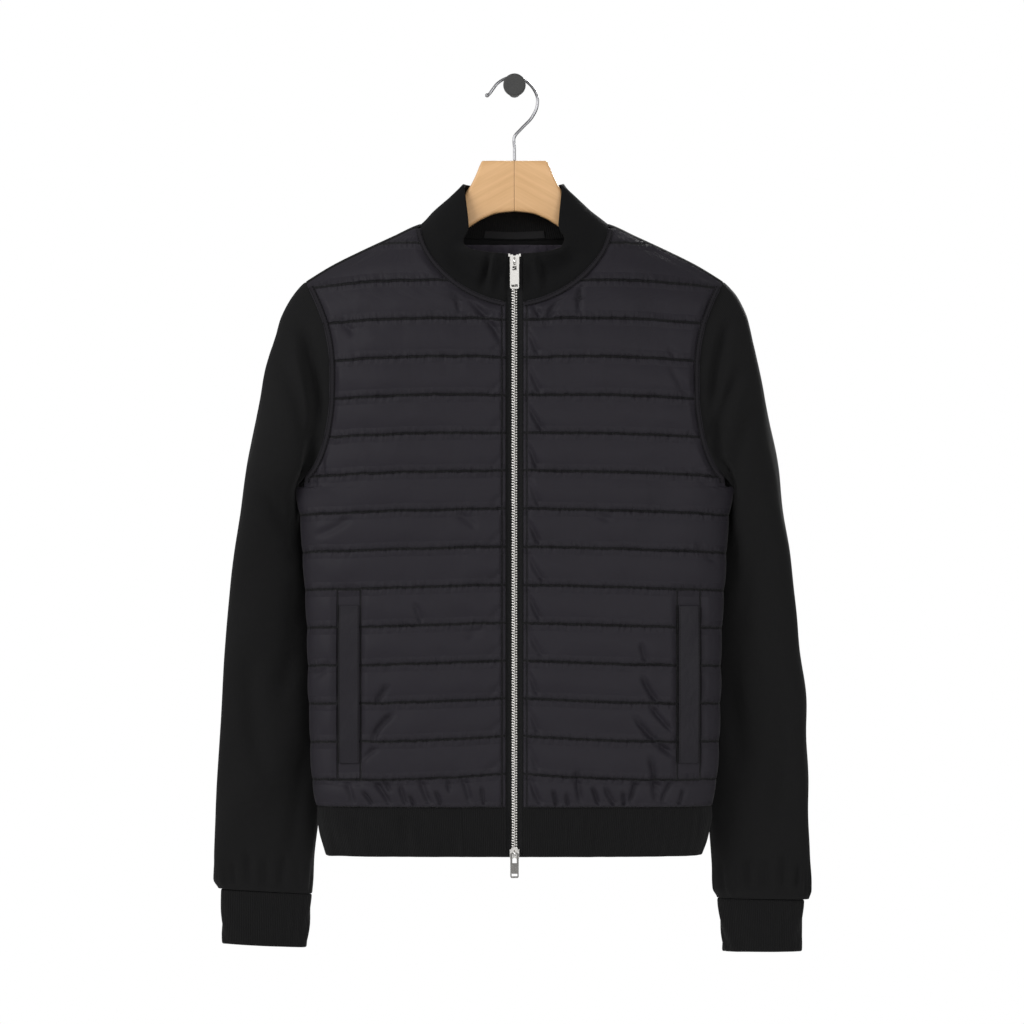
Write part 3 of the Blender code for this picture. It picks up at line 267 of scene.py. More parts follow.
def torso_size(z):
    """The torso's half width and half depth at a height."""
    return through(TORSO, "half_width", z), through(TORSO, "half_depth", z)


def half_depth(x, z):
    """How far the torso stands from its middle plane: a superellipse across, times a quarter ellipse down
    from the shoulder line."""
    x = np.abs(x)
    wide, deep = torso_size(z)
    down = np.clip((shoulder_line(x) - z) / SHOULDER_DROP, 0, 1)
    over = np.sqrt(1 - (1 - down) ** 2)
    return deep * over * np.maximum(1 - (x / wide) ** ROUNDNESS, 0) ** (1 / ROUNDNESS)


def on_torso(x, z, facing):
    """A point on the torso, on its front where facing is -1 and on its back where it is 1."""
    x, z = np.broadcast_arrays(np.asarray(x, float), np.asarray(z, float))
    return grid_of(x, MIDDLE_Y + facing * half_depth(x, z), z)


def neckline(z):
    """Distance of the neckline from the middle: a quarter superellipse from the neck's side to the zip."""
    down = np.clip((NECK_TOP - z) / (NECK_TOP - NECK_FRONT + NECK_PAST_ZIP), 0, 1)
    return np.maximum(NECK_SIDE * (1 - down**NECK_POWER) ** (1 / NECK_POWER), ZIP_EDGE)


def shoulder_seam(z):
    """Distance of the shoulder seam from the middle at a height."""
    places = np.linspace(0.9 * NECK_SIDE, SHOULDER_TIP, 400)
    heights = shoulder_line(places) - SHOULDER_SEAM_DROP
    return np.interp(-np.asarray(z), -heights, places)


def smooth_path(points, count):
    """A path of evenly spaced points on the cubic curve through the given ones, each slope being the
    centred difference of its neighbours."""
    points = np.asarray(points, float)
    run = run_along(points)
    slopes = np.gradient(points, run, axis=0)

    def at(where):
        k = np.clip(np.searchsorted(run, where, side="right") - 1, 0, len(run) - 2)
        span = (run[k + 1] - run[k])[:, None]
        t = (where - run[k])[:, None] / span
        start = (1 + 2 * t) * (1 - t) ** 2 * points[k] + t * (1 - t) ** 2 * span * slopes[k]
        end = t**2 * (3 - 2 * t) * points[k + 1] + t**2 * (t - 1) * span * slopes[k + 1]
        return start + end

    dense = np.linspace(0, run[-1], count * 8)
    travelled = run_along(at(dense))
    return at(np.interp(np.linspace(0, travelled[-1], count), travelled, dense))


def normals_of(points, inside, ring=False):
    """Unit normals of a grid, from its differences both ways, turned away from inside. A ring repeats its
    first column at its end."""
    if ring:
        wrapped = np.concatenate([points[:, -2:-1], points, points[:, 1:2]], axis=1)
        along = wrapped[:, 2:] - wrapped[:, :-2]
    else:
        along = np.gradient(points, axis=1)
    normals = unit(np.cross(along, np.gradient(points, axis=0)))
    return normals if (normals * (points - inside)).sum() > 0 else -normals


def facing_out(points, ring=False):
    """Normals of a grid turned away from the torso's middle plane, or from a ring's own middle."""
    inside = points[:, :-1].mean(axis=1, keepdims=True) if ring else points * (0.8, 0, 1) + (0, MIDDLE_Y, 0)
    return normals_of(points, inside, ring)


def ripples(seed, u, v, size, count=24, stretch=1.0):
    """Smooth unevenness between about -1 and 1: a sum of plane waves of random heading, length and start,
    around the given size, longer along u by stretch."""
    draw = np.random.default_rng(seed)
    heading = draw.uniform(0, 2 * np.pi, count)
    pace = 2 * np.pi / (size * draw.uniform(0.7, 1.6, count))
    start = draw.uniform(0, 2 * np.pi, count)
    total = np.zeros(np.broadcast(u, v).shape)
    for angle, fast, first in zip(heading, pace, start):
        total = total + np.sin(fast * (np.cos(angle) * u / stretch + np.sin(angle) * v) + first)
    return total / np.sqrt(count / 2)


def bell(value, centre, width):
    """One at the centre, falling as e to the minus square of the distance in widths."""
    return np.exp(-(((value - centre) / width) ** 2))


def crease(x, z, fold):
    """A soft trough from one point to another: a bell across, and thinning towards both ends."""
    dx, dz = fold.x1 - fold.x0, fold.z1 - fold.z0
    length = np.hypot(dx, dz)
    along = ((x - fold.x0) * dx + (z - fold.z0) * dz) / length**2
    bow = fold.bow * np.sin(np.pi * np.clip(along, 0, 1))
    aside = ((x - fold.x0) * dz - (z - fold.z0) * dx) / length - bow
    taper = rise(along, -0.15, 0.25) * (1 - rise(along, 0.75, 1.15))
    return fold.depth * bell(aside, 0, fold.width) * taper


# ---------------------------------------------------------------- meshes


def quads(index):
    """A quad for each cell of a grid of point numbers."""
    corners = (index[:-1, :-1], index[1:, :-1], index[1:, 1:], index[:-1, 1:])
    return np.stack(corners, axis=-1).reshape(-1, 4)


def make_mesh(name, points, faces, uvs=None):
    """A smooth mesh of quads from whole arrays, turned outwards. uvs gives each map's values corner by
    corner."""
    first, second, third, fourth = (points[faces[:, k]] for k in range(4))
    volume = (first * np.cross(second, third)).sum() + (first * np.cross(third, fourth)).sum()
    order = slice(None) if volume > 0 else slice(None, None, -1)
    faces = np.ascontiguousarray(faces[:, order], dtype=np.int32)
    mesh = bpy.data.meshes.new(name)
    mesh.vertices.add(len(points))
    mesh.vertices.foreach_set("co", np.ascontiguousarray(points, dtype=np.float32).ravel())
    mesh.loops.add(faces.size)
    mesh.loops.foreach_set("vertex_index", faces.ravel())
    mesh.polygons.add(len(faces))
    mesh.polygons.foreach_set("loop_start", np.arange(0, faces.size, 4, dtype=np.int32))
    mesh.update(calc_edges=True)
    for map_name, values in (uvs or {}).items():
        layer = mesh.uv_layers.new(name=map_name)
        layer.uv.foreach_set("vector", np.ascontiguousarray(values[:, order], dtype=np.float32).ravel())
    mesh.shade_smooth()
    return mesh


PIECES = {}


def in_scene(name, data):
    """A new object of the scene."""
    made = bpy.data.objects.new(name, data)
    bpy.context.scene.collection.objects.link(made)
    return made


def place(name, mesh, paint, body, nodes):
    """The piece in the scene: riding on its body, in its finish, and standing for its CAD nodes."""
    made = PIECES[name] = in_scene(name.replace(" ", "_"), mesh)
    mesh.materials.append(paint.material)
    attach(made, body)
    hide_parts(*nodes)
    return made


EDGE_TURN = np.radians([0, 22.5, 45, 67.5, 90])


def rounded_start(faces):
    """Both faces of a wall, their first row replaced by rows that thin on a quarter circle to nothing."""
    outer, inner = faces
    thick = np.linalg.norm(outer[0, :, :3] - inner[0, :, :3], axis=-1)
    gap = np.linalg.norm(outer[0, :, :3] - outer[1, :, :3], axis=-1)
    radius = np.minimum(thick / 2, 0.8 * gap)
    share = (radius * (1 - np.cos(EDGE_TURN[:, None])) / np.maximum(gap, 1e-9))[..., None]
    rows = [face[0] + (face[1] - face[0]) * share for face in faces]
    middle = (rows[0] + rows[1]) / 2
    full = np.sin(EDGE_TURN)[:, None, None]
    return [np.concatenate([middle + (row - middle) * full, face[1:]]) for row, face in zip(rows, faces)]


def soft_edges(faces, ring):
    """Both faces of a wall, meeting in a round rim along every edge. A ring has only two edges."""
    for _ in range(1 if ring else 2):
        for _ in range(2):
            faces = [face[::-1] for face in rounded_start(faces)]
        if not ring:
            faces = [face.transpose(1, 0, 2) for face in faces]
    return faces


def cloth(name, outer, inner, paint, nodes, ring=False, maps=("cloth",)):
    """A closed wall with round rims between two grids of the same size. Each grid point carries its place
    and then two numbers for each UV map, and a ring repeats its first column at its end."""
    outer, inner = soft_edges((outer, inner), ring)
    rows, columns = outer.shape[:2]
    near = np.arange(rows * columns).reshape(rows, columns)
    far = near + rows * columns
    far[0], far[-1] = near[0], near[-1]
    if ring:
        near[:, -1], far[:, -1] = near[:, 0], far[:, 0]
    else:
        far[:, 0], far[:, -1] = near[:, 0], near[:, -1]
    faces = np.concatenate([quads(near), quads(far)[:, ::-1]])
    points = np.concatenate([outer.reshape(-1, outer.shape[2]), inner.reshape(-1, outer.shape[2])])
    plain = np.arange(rows * columns).reshape(rows, columns)
    corners = np.concatenate([quads(plain), quads(plain + rows * columns)[:, ::-1]])
    used, compact = np.unique(faces, return_inverse=True)
    uvs = {key: points[corners][..., 3 + 2 * k : 5 + 2 * k] for k, key in enumerate(maps)}
    mesh = make_mesh(name, points[used][:, :3], compact.reshape(faces.shape), uvs)
    return place(name, mesh, paint, "jacket", nodes)


def measured(points):
    """The grid's points, each followed by its run across and its run down in metres."""
    across = np.linalg.norm(np.diff(points, axis=1), axis=-1).mean(axis=0)
    u = np.broadcast_to(summed(across), points.shape[:2])
    down = np.linalg.norm(np.diff(points, axis=0), axis=-1).mean(axis=1)
    v = np.broadcast_to(-summed(down)[:, None], points.shape[:2])
    return np.concatenate([points, u[..., None], v[..., None]], axis=-1)


def lift(grid, normals, height):
    """The grid moved along its normals by one height or a height for each point, its other numbers kept."""
    moved = grid.copy()
    moved[..., :3] = moved[..., :3] + normals * np.asarray(height)[..., None]
    return moved


def wall(grid, height, thick, ring=False):
    """Both faces of a panel: the grid raised by its height, and that face set back by its thickness."""
    normals = facing_out(grid, ring)
    outer = lift(measured(grid), normals, height)
    return outer, lift(outer, normals, -thick)


def flipped(grid, side):
    """The grid on the other side of the garment, for the left."""
    turned = grid.copy()
    turned[..., 0] *= 1 if side == "right" else -1
    return turned


def side_cloth(kind, side, outer, inner, paint, nodes=None, **choices):
    """One side's piece of cloth, from grids on the right side of the garment. It stands for the node of
    its own name unless others are given."""
    name = f"{kind} {side}"
    nodes = nodes or [name.replace(" ", "_")]
    return cloth(name, flipped(outer, side), flipped(inner, side), paint, nodes, **choices)


# ---------------------------------------------------------------- finishes


class Finish:
    """A material being put together: its nodes, and short words for the sums between them."""

    def __init__(self, name, slot, colour, roughness, **sockets):
        self.slot = slot
        self.material = bpy.data.materials.new(name)
        self.material.use_nodes = True
        self.tree = self.material.node_tree
        self.shader = self.tree.nodes["Principled BSDF"]
        self.shader.inputs["Base Color"].default_value = (*colour, 1)
        self.shader.inputs["Roughness"].default_value = roughness
        for key, value in sockets.items():
            self.shader.inputs[key.replace("_", " ")].default_value = value

    def put(self, socket, value):
        if isinstance(value, bpy.types.NodeSocket):
            self.tree.links.new(value, socket)
        else:
            socket.default_value = value

    def node(self, kind, *values, **settings):
        """A new node with its settings, and its first inputs fed in order."""
        node = self.tree.nodes.new("ShaderNode" + kind)
        for key, value in settings.items():
            setattr(node, key, value)
        for socket, value in zip(node.inputs, values):
            self.put(socket, value)
        return node

    def math(self, operation, *values, clamp=False):
        return self.node("Math", *values, operation=operation, use_clamp=clamp).outputs[0]

    def split(self, vector):
        return self.node("SeparateXYZ", vector).outputs

    def map(self, name):
        """The two numbers of a UV map."""
        return self.split(self.node("UVMap", uv_map=name).outputs[0])[:2]

    def place(self):
        return self.node("TexCoord").outputs["Object"]

    def vector(self, x, y, z=0.0):
        return self.node("CombineXYZ", x, y, z).outputs[0]

    def stretched(self, vector, factors):
        return self.node("VectorMath", vector, factors, operation="MULTIPLY").outputs[0]

    def noise(self, vector, scale, detail=2.0, roughness=0.5):
        node = self.node("TexNoise", vector)
        for key, value in (("Scale", scale), ("Detail", detail), ("Roughness", roughness)):
            node.inputs[key].default_value = value
        return node.outputs["Fac"]

    def wave(self, value, pitch):
        """A wave between 0 and 1 along a value in metres."""
        angle = self.times(value, 2 * np.pi / pitch)
        return self.math("MULTIPLY_ADD", self.math("SINE", angle), 0.5, 0.5)

    def line(self, distance, half_width, soft):
        """One on a line and nothing off it, from the distance to it."""
        edge = self.less(half_width + soft, self.size(distance))
        return self.math("DIVIDE", edge, soft, clamp=True)

    def dashes(self, along, pitch, share):
        """One on each stitch of a row and nothing between two stitches."""
        place = self.math("FRACT", self.over(along, pitch))
        return self.math("LESS_THAN", self.size(self.less(place, 0.5)), share / 2)

    def stitches(self, aside, along, half_width, soft, share):
        """One on each stitch of a row, from the distance to the row and the place along it."""
        return self.times(self.line(aside, half_width, soft), self.dashes(along, STITCH, share))

    def stitched(self, rows, half_width, soft, share):
        """One on each stitch of the rows that run down the cloth map at the given places across it."""
        u, v = self.map("cloth")
        total = 0.0
        for row in rows:
            total = self.larger(self.stitches(self.less(u, row), v, half_width, soft, share), total)
        return total

    def add(self, first, second):
        return self.math("ADD", first, second)

    def less(self, first, second):
        return self.math("SUBTRACT", first, second)

    def times(self, first, second):
        return self.math("MULTIPLY", first, second)

    def over(self, first, second):
        return self.math("DIVIDE", first, second)

    def larger(self, first, second):
        return self.math("MAXIMUM", first, second)

    def size(self, value):
        return self.math("ABSOLUTE", value)

    def mix(self, share, first, second):
        node = self.node("Mix", share, data_type="RGBA")
        for socket, value in ((node.inputs[6], first), (node.inputs[7], second)):
            self.put(socket, (*value, 1) if isinstance(value, tuple) else value)
        return node.outputs[2]

    def colour(self, value):
        self.tree.links.new(value, self.shader.inputs["Base Color"])
        return self

    def bump(self, height, distance=0.001, strength=1.0):
        """The height in shares of distance, laid over any bump put on before."""
        node = self.node("Bump")
        node.inputs["Distance"].default_value = distance
        node.inputs["Strength"].default_value = strength
        self.put(node.inputs["Height"], height)
        already = self.shader.inputs["Normal"]
        if already.is_linked:
            self.tree.links.new(already.links[0].from_socket, node.inputs["Normal"])
        self.tree.links.new(node.outputs[0], already)
        return self


STITCH = 0.0032
PITCH = 0.0392
NYLON = (0.0146, 0.0127, 0.0175)
# Painted shade: the colour that the quilted nylon is darkened to along its stitched rows.
SEAM_SHADE = (0.0026, 0.0024, 0.0030)
THREAD = (0.0034, 0.0031, 0.0038)
KNIT = (0.0108, 0.0107, 0.0110)
# A darker copy of the black knit for the collar: painted shade for its front, which turns down away from the
# light.
COLLAR_BLACK = (0.0076, 0.0076, 0.0079)


def quilted_nylon():
    """Fine plain-woven nylon with its quilting rows: the quilt map holds the distance from the middle and the
    count of rows, the seam map the distance to an upright row and the place along it, and the slot map the
    distance to a pocket's opening. Each row lies in a narrow furrow that the cloth puckers into. The colour
    carries painted shade along every row and in a soft band above each level row, and a painted shadow along
    each pocket's opening."""
    made = Finish(
        "quilted nylon", "quilted_nylon", NYLON, 0.58,
        Specular_IOR_Level=0.17, Sheen_Weight=0.05, Sheen_Roughness=0.45,
    )
    across, count = made.map("quilt")
    aside, along = made.map("seam")
    u, v = made.map("cloth")
    from_row = made.times(made.less(count, made.math("ROUND", count)), PITCH)
    level = made.stitches(from_row, across, 0.00022, 0.00020, 0.70)
    upright = made.stitches(aside, along, 0.00022, 0.00020, 0.70)
    stitches = made.larger(level, upright)
    furrow = made.larger(made.line(from_row, 0.0002, 0.0015), made.line(aside, 0.0002, 0.0012))
    # Painted shade along the furrow of each quilting row and each upright row.
    dark = made.larger(made.line(from_row, 0.0008, 0.0009), made.line(aside, 0.0003, 0.0007))
    # Painted shadow: a dark strip along each pocket's opening beside its welt, within the welt's height.
    from_pocket_shadow, past_end = made.map("slot")
    slot = made.times(made.line(from_pocket_shadow, 0.0014, 0.0008), made.math("GREATER_THAN", past_end, 0.0))
    # Painted shade in a soft band just above each quilting row, where the channel above curves under.
    under = made.math("ADD", 1.0, made.over(from_row, 0.0065), clamp=True)
    under = made.times(made.math("LESS_THAN", from_row, 0.0), made.times(under, under))
    # All the painted shade and the painted shadow, mixed into the cloth's colour below the thread.
    dark = made.larger(made.larger(dark, slot), made.times(under, 0.48))
    made.colour(made.mix(stitches, made.mix(made.times(dark, 0.95), NYLON, SEAM_SHADE), THREAD))
    near = made.math("SUBTRACT", 1.0, made.over(made.size(from_row), 0.0075), clamp=True)
    pucker = made.noise(made.vector(across, made.times(count, 0.010)), 210, 1.0)
    made.bump(made.times(pucker, near), 0.0046)
    crinkle = made.noise(made.stretched(made.vector(u, v), (1.0, 0.35, 1.0)), 70, 2.0, 0.5)
    made.bump(crinkle, 0.0007)
    made.bump(made.times(furrow, -1.0), 0.0011)
    weave = made.times(made.wave(u, 0.00055), made.wave(v, 0.00055))
    made.bump(made.add(made.times(weave, 0.15), stitches), 0.00025)
    return made


def plain_nylon(name, slot, colour, crinkle, rows=()):
    """Unpadded nylon, with stitched rows at the given places across the cloth map."""
    made = Finish(name, slot, colour, 0.56, Specular_IOR_Level=0.18)
    if rows:
        made.colour(made.mix(made.stitched(rows, 0.00028, 0.00022, 0.74), colour, THREAD))
    place = made.vector(*made.map("cloth"))
    made.bump(made.noise(made.stretched(place, (1.0, 0.5, 1.0)), 140, 3.0), crinkle)
    return made


def knit(
    name, colour=KNIT, rib=0.0, deep=0.0, inner_rib=False, inner=1.0,
    rows=(), thread=THREAD, slot="black_knit",
):
    """Fine knitted cloth: columns of loops down the cloth map and courses across them. A rib adds furrows at
    its pitch, their colour darker as painted shade. With inner_rib it is on the inner face alone, whose map
    is moved far aside and whose colour is that many times lighter, painted light for an inner face that lies
    in shade. Rows are stitched rows."""
    sheen = {"Sheen_Weight": 0.035, "Sheen_Roughness": 0.5}
    made = Finish(name, slot, colour, 0.86, Specular_IOR_Level=0.05, **sheen)
    u, v = made.map("cloth")
    loops = made.times(made.wave(u, 0.00105), made.add(0.55, made.times(made.wave(v, 0.0008), 0.45)))
    cloud = made.noise(made.vector(u, v), 260, 3.0, 0.6)
    made.bump(made.add(made.times(loops, 0.5), made.times(cloud, 0.5)), 0.00035)
    tint = made.math("MULTIPLY_ADD", loops, 0.35, 0.8)
    if rib:
        furrow = made.wave(u, rib)
        if inner_rib:
            inside = made.math("GREATER_THAN", u, INNER_ASIDE / 2)
            furrow = made.times(furrow, inside)
            # Painted light: the inner face's colour made lighter, against the shade that the hanger and the
            # collar cast inside it.
            tint = made.times(tint, made.math("MULTIPLY_ADD", inside, inner - 1.0, 1.0))
        made.bump(furrow, deep)
        # Painted shade: the rib's colour darker along its furrows.
        tint = made.times(tint, made.math("MULTIPLY_ADD", furrow, -0.35, 1.12))
    shade = made.mix(tint, (0.0, 0.0, 0.0), colour)
    if rows:
        stitches = made.stitched(rows, 0.00030, 0.00020, 0.72)
        shade = made.mix(stitches, shade, thread)
        made.bump(stitches, 0.0003)
    return made.colour(shade)


def metal(name, slot, colour, roughness):
    """Polished metal, given the colour that it reflects straight on."""
    return Finish(name, slot, colour, roughness, Metallic=1.0)


def beech():
    """Light beech: long grain along the hanger's arm, slanted on each half, with small flecks."""
    made = Finish("beech", "beech", (0.67, 0.425, 0.217), 0.42, Specular_IOR_Level=0.4)
    x, y, z = made.split(made.place())
    slanted = made.math("MULTIPLY_ADD", made.size(x), 0.55, z)
    along = made.math("MULTIPLY_ADD", z, -0.55, made.size(x))

    def lay(*scales):
        return made.vector(*(made.times(way, scale) for way, scale in zip((along, y, slanted), scales)))

    grain = made.noise(lay(9.0, 60.0, 210.0), 1.0, 4.0, 0.6)
    flecks = made.math("GREATER_THAN", made.noise(lay(60.0, 500.0, 1400.0), 1.0), 0.66)
    bands = made.math("MULTIPLY_ADD", grain, 2.6, -0.8, clamp=True)
    board = made.mix(bands, (0.64, 0.375, 0.17), (0.74, 0.455, 0.225))
    joint = made.line(x, 0.00025, 0.0003)
    board = made.mix(made.times(joint, 0.55), board, (0.40, 0.22, 0.10))
    made.colour(made.mix(made.times(flecks, 0.18), board, (0.45, 0.25, 0.11)))
    made.bump(grain, 0.0001)
    return made


def peg_paint():
    """Matt dark paint, slightly uneven."""
    made = Finish("dark peg", "dark_peg", (0.052, 0.052, 0.051), 0.62, Specular_IOR_Level=0.3)
    made.bump(made.noise(made.place(), 900, 2.0), 0.00008)
    return made


def tape_cloth():
    """Dense plain-woven tape."""
    made = Finish("zip tape", "zip_tape", (0.010, 0.010, 0.0105), 0.8, Specular_IOR_Level=0.2)
    u, v = made.map("cloth")
    made.bump(made.times(made.wave(u, 0.0008), made.wave(v, 0.0006)), 0.0003)
    return made


INNER_ASIDE = 10.0
BAND_ROWS = (0.0006, 0.0041)

QUILTED = quilted_nylon()
WELT = plain_nylon("welt nylon", "quilted_nylon", (0.0122, 0.0108, 0.0146), 0.0010, rows=(0.0012, 0.0195))
LINING = plain_nylon("lining nylon", "lining_nylon", (0.040, 0.035, 0.046), 0.0026)
TAPE_ROWS, TAPE_THREAD = (-0.0052, -0.0012), (0.075, 0.074, 0.078)
NECK_TAPE = knit("neck tape", (0.02, 0.0197, 0.0207), rows=TAPE_ROWS, thread=TAPE_THREAD, slot="lining_nylon")
JERSEY = knit("fine knit")
# The collar's inner face is painted lighter, four point two times, as painted light for the shade inside the
# collar.
COLLAR_KNIT = knit("collar knit", COLLAR_BLACK, rib=0.0021, deep=0.0004, inner_rib=True, inner=4.2)
RIB = knit("rib knit", rib=0.0019, deep=0.0004)
BAND_KNIT = knit("band knit", (0.0185, 0.0172, 0.0200), rows=BAND_ROWS, thread=(0.0040, 0.0038, 0.0045))
ZIP_CLOTH = tape_cloth()
NICKEL = metal("nickel", "nickel", (0.62, 0.605, 0.58), 0.24)
CHROME = metal("chrome", "chrome", (0.27, 0.27, 0.28), 0.20)
BEECH = beech()
PEG = peg_paint()


# ---------------------------------------------------------------- quilted fronts

SIDES = (("right", 1), ("left", -1))
LINE_START, LINE_START_SLOPE, LINE_START_BOW = 0.2463, -0.0123, 0.0174
LINE_STEP, LINE_STEP_SLOPE, LINE_STEP_BOW = 0.03913, 0.00251, -0.00234
LINE_SPAN = 0.215
LAST_LINE = 14
PUFF = 0.0046
FULLNESS = 0.46
SAG = 1.22
ZIP_ROW = 0.0128
POCKET_IN, POCKET_OUT = 0.1596, 0.1835
POCKET_TOP, POCKET_FOOT = -0.5260, -0.7235
WELT_IN, WELT_OUT = 0.1608, 0.1815
WELT_TOP, WELT_FOOT = -0.5420, -0.7060
POCKET_SHIFT = {"left": 0.0, "right": 0.0092}
FOLD_DEPTH, FOLD_WIDTH = 2.1, 0.68

Fold = namedtuple("Fold", "x0 z0 x1 z1 width depth bow")
LEFT_FOLDS = in_millimetres(
    Fold,
    (144, -645, 131, -625, 4.2, 2.2, 1), (147, -680, 126, -654, 4.6, 2.6, 2),
    (159, -704, 143, -690, 4, 2, 1), (103, -540, 96, -562, 5, 1.4, 1), (145, -724, 129, -748, 4.2, 2.4, 1),
    (97, -722, 87, -747, 4.6, 2, -1), (54, -719, 46, -746, 5, 1.9, 1), (119, -728, 112, -749, 3.6, 2, 0),
    (157, -735, 147, -749, 3, 2.4, 1), (134, -722, 128, -735, 2.8, 2.2, -1),
    (109, -738, 103, -750, 2.8, 2.2, 0), (82, -734, 76, -750, 3, 2.1, 1),
    (70, -720, 67, -735, 2.8, 1.8, 0), (34, -730, 31, -749, 3, 1.8, 0), (175, -722, 166, -748, 4, 1.8, 1),
    (62, -216, 57, -238, 3.6, 1.6, 0), (46, -226, 12, -272, 5, 2.2, 3),
    (201, -380, 198, -414, 3.6, 2.2, 1), (207, -396, 206, -420, 3.2, 1.8, 0),
    (183, -245, 166, -262, 6, 1.2, 2), (170, -450, 205, -470, 6, 1.4, 2), (60, -445, 40, -462, 6, 1, 1),
    (30, -560, 50, -575, 6, 1, 1), (190, -600, 208, -618, 5, 1.3, 1),
)
RIGHT_FOLDS = in_millimetres(
    Fold,
    (132, -616, 151, -646, 4.6, 2.4, 1), (125, -659, 165, -698, 5, 2.7, 2),
    (141, -646, 164, -673, 4, 2.2, 1), (131, -581, 138, -602, 4.4, 1.8, 1),
    (15, -719, 28, -748, 4.6, 2, 1), (65, -712, 69, -746, 4.6, 2.2, 1), (94, -730, 105, -749, 4.2, 2.1, 1),
    (127, -722, 119, -746, 4, 2.4, 0), (40, -733, 44, -750, 2.8, 2.2, 0), (54, -736, 57, -750, 2.8, 2, 1),
    (81, -730, 87, -748, 3, 2.4, 0), (112, -735, 114, -750, 2.8, 2.2, 0), (175, -733, 170, -749, 3, 2, 0),
    (144, -719, 147, -745, 4.2, 1.9, 1), (165, -722, 152, -747, 4.4, 2.2, 1),
    (141, -700, 151, -736, 4.6, 2.2, 1), (69, -208, 67, -238, 4, 1.8, 1), (49, -222, 32, -252, 4.6, 2, 2),
    (160, -274, 173, -292, 6, 0.8, 1), (162, -296, 187, -331, 6, 1, 2), (186, -402, 206, -424, 6, 0.6, 1),
    (80, -440, 100, -455, 6, 1, 1), (188, -478, 208, -496, 5, 1.3, 1),
)
END_FOLD_REACH = (0.0125, 0.0285)
END_FOLD_DROP = (0.22, 0.96)
END_FOLD = {"left": (2.6, 0.0014), "right": (1.0, 0.0034)}
GATHER = 0.00036
NECK_FADE, ZIP_FADE = (0.0050, 0.0125), (0.0020, 0.0068)
ARMHOLE_FADE, SIDE_FADE = (0.0050, 0.0130), (0.004, 0.045)
SHOULDER_FADE, POCKET_FADE = (0.003, 0.045), (-0.0005, 0.0075)
SIDE_PUFF, POCKET_PUFF = 0.30, 0.10
# How far past the welt's edge the painted shadow of a pocket's opening lies.
POCKET_SHADOW_ASIDE = 0.0009
FRONT_ACROSS = 128
FRONT_TOP = -0.1490
YOKE_FOOT = -0.2320
YOKE_ROWS, FRONT_ROWS = 54, 296
# The slot map places the painted shadow in each pocket's opening.
FRONT_MAPS = ("cloth", "quilt", "seam", "slot")


def quilt_count(x, z, seed):
    """How many quilting rows lie above a place, counted in fractions from the first row: rows start lower
    and step wider or closer by a parabola of the distance from the middle, and the last channel is
    squeezed to end at the hem's seam. The rows waver a little."""
    u = np.clip(np.abs(x) / LINE_SPAN, 0, 1)
    start = LINE_START + LINE_START_SLOPE * u + LINE_START_BOW * u * u
    step = LINE_STEP + LINE_STEP_SLOPE * u + LINE_STEP_BOW * u * u
    count = 2 + (-z - start) / step
    count = count + 0.005 * ripples(seed, x, 0.3 * z, 0.050) + 0.0035 * ripples(seed + 1, x, 0.3 * z, 0.010)
    to_hem = (-HEM_SEAM - start) / step + 2 - LAST_LINE + 0.01
    return np.where(count > LAST_LINE, LAST_LINE + (count - LAST_LINE) / to_hem, count)


def even_shares(count):
    """Shares of a front's width at even steps round its level section."""
    dense = np.linspace(0, 1, 3000)
    depth = 0.046 * (1 - dense**ROUNDNESS) ** (1 / ROUNDNESS)
    run = summed(np.hypot(np.diff(0.218 * dense), np.diff(depth)))
    return np.interp(np.linspace(0, 1, count), run / run[-1], dense)


def body_edge(z):
    """The body's outer edge with the corner at the shoulder tip eased."""
    z = np.asarray(z, float)
    side = through(TORSO, "half_width", z)
    arm = through(ARMHOLE, "value", z)
    return np.where(z > UNDERARM, np.minimum(shoulder_seam(z), arm), side)


def front_base():
    """The right front's grid: from the neckline or the zip to the body's edge, closer rows on the yoke."""
    levels = np.concatenate(
        [np.linspace(FRONT_TOP, YOKE_FOOT, YOKE_ROWS), np.linspace(YOKE_FOOT, HEM_SEAM, FRONT_ROWS)[1:]]
    )
    start, end = neckline(levels)[:, None], body_edge(levels)[:, None]
    return on_torso(start + (end - start) * even_shares(FRONT_ACROSS), levels[:, None], -1)


def distance_to(points, path):
    """From each grid point to the nearest point of a path."""
    far = np.full(points.shape[:2], np.inf)
    for place in path:
        far = np.minimum(far, ((points - place) ** 2).sum(axis=-1))
    return np.sqrt(far)


def in_pocket(x, z, shift):
    """Signed distance to the flat strip that holds a pocket's welt: negative inside it."""
    dx = np.maximum(POCKET_IN + shift - x, x - shift - POCKET_OUT)
    dz = np.maximum(z - POCKET_TOP, POCKET_FOOT - z)
    outside = np.hypot(np.maximum(dx, 0), np.maximum(dz, 0))
    return outside + np.minimum(np.maximum(dx, dz), 0)


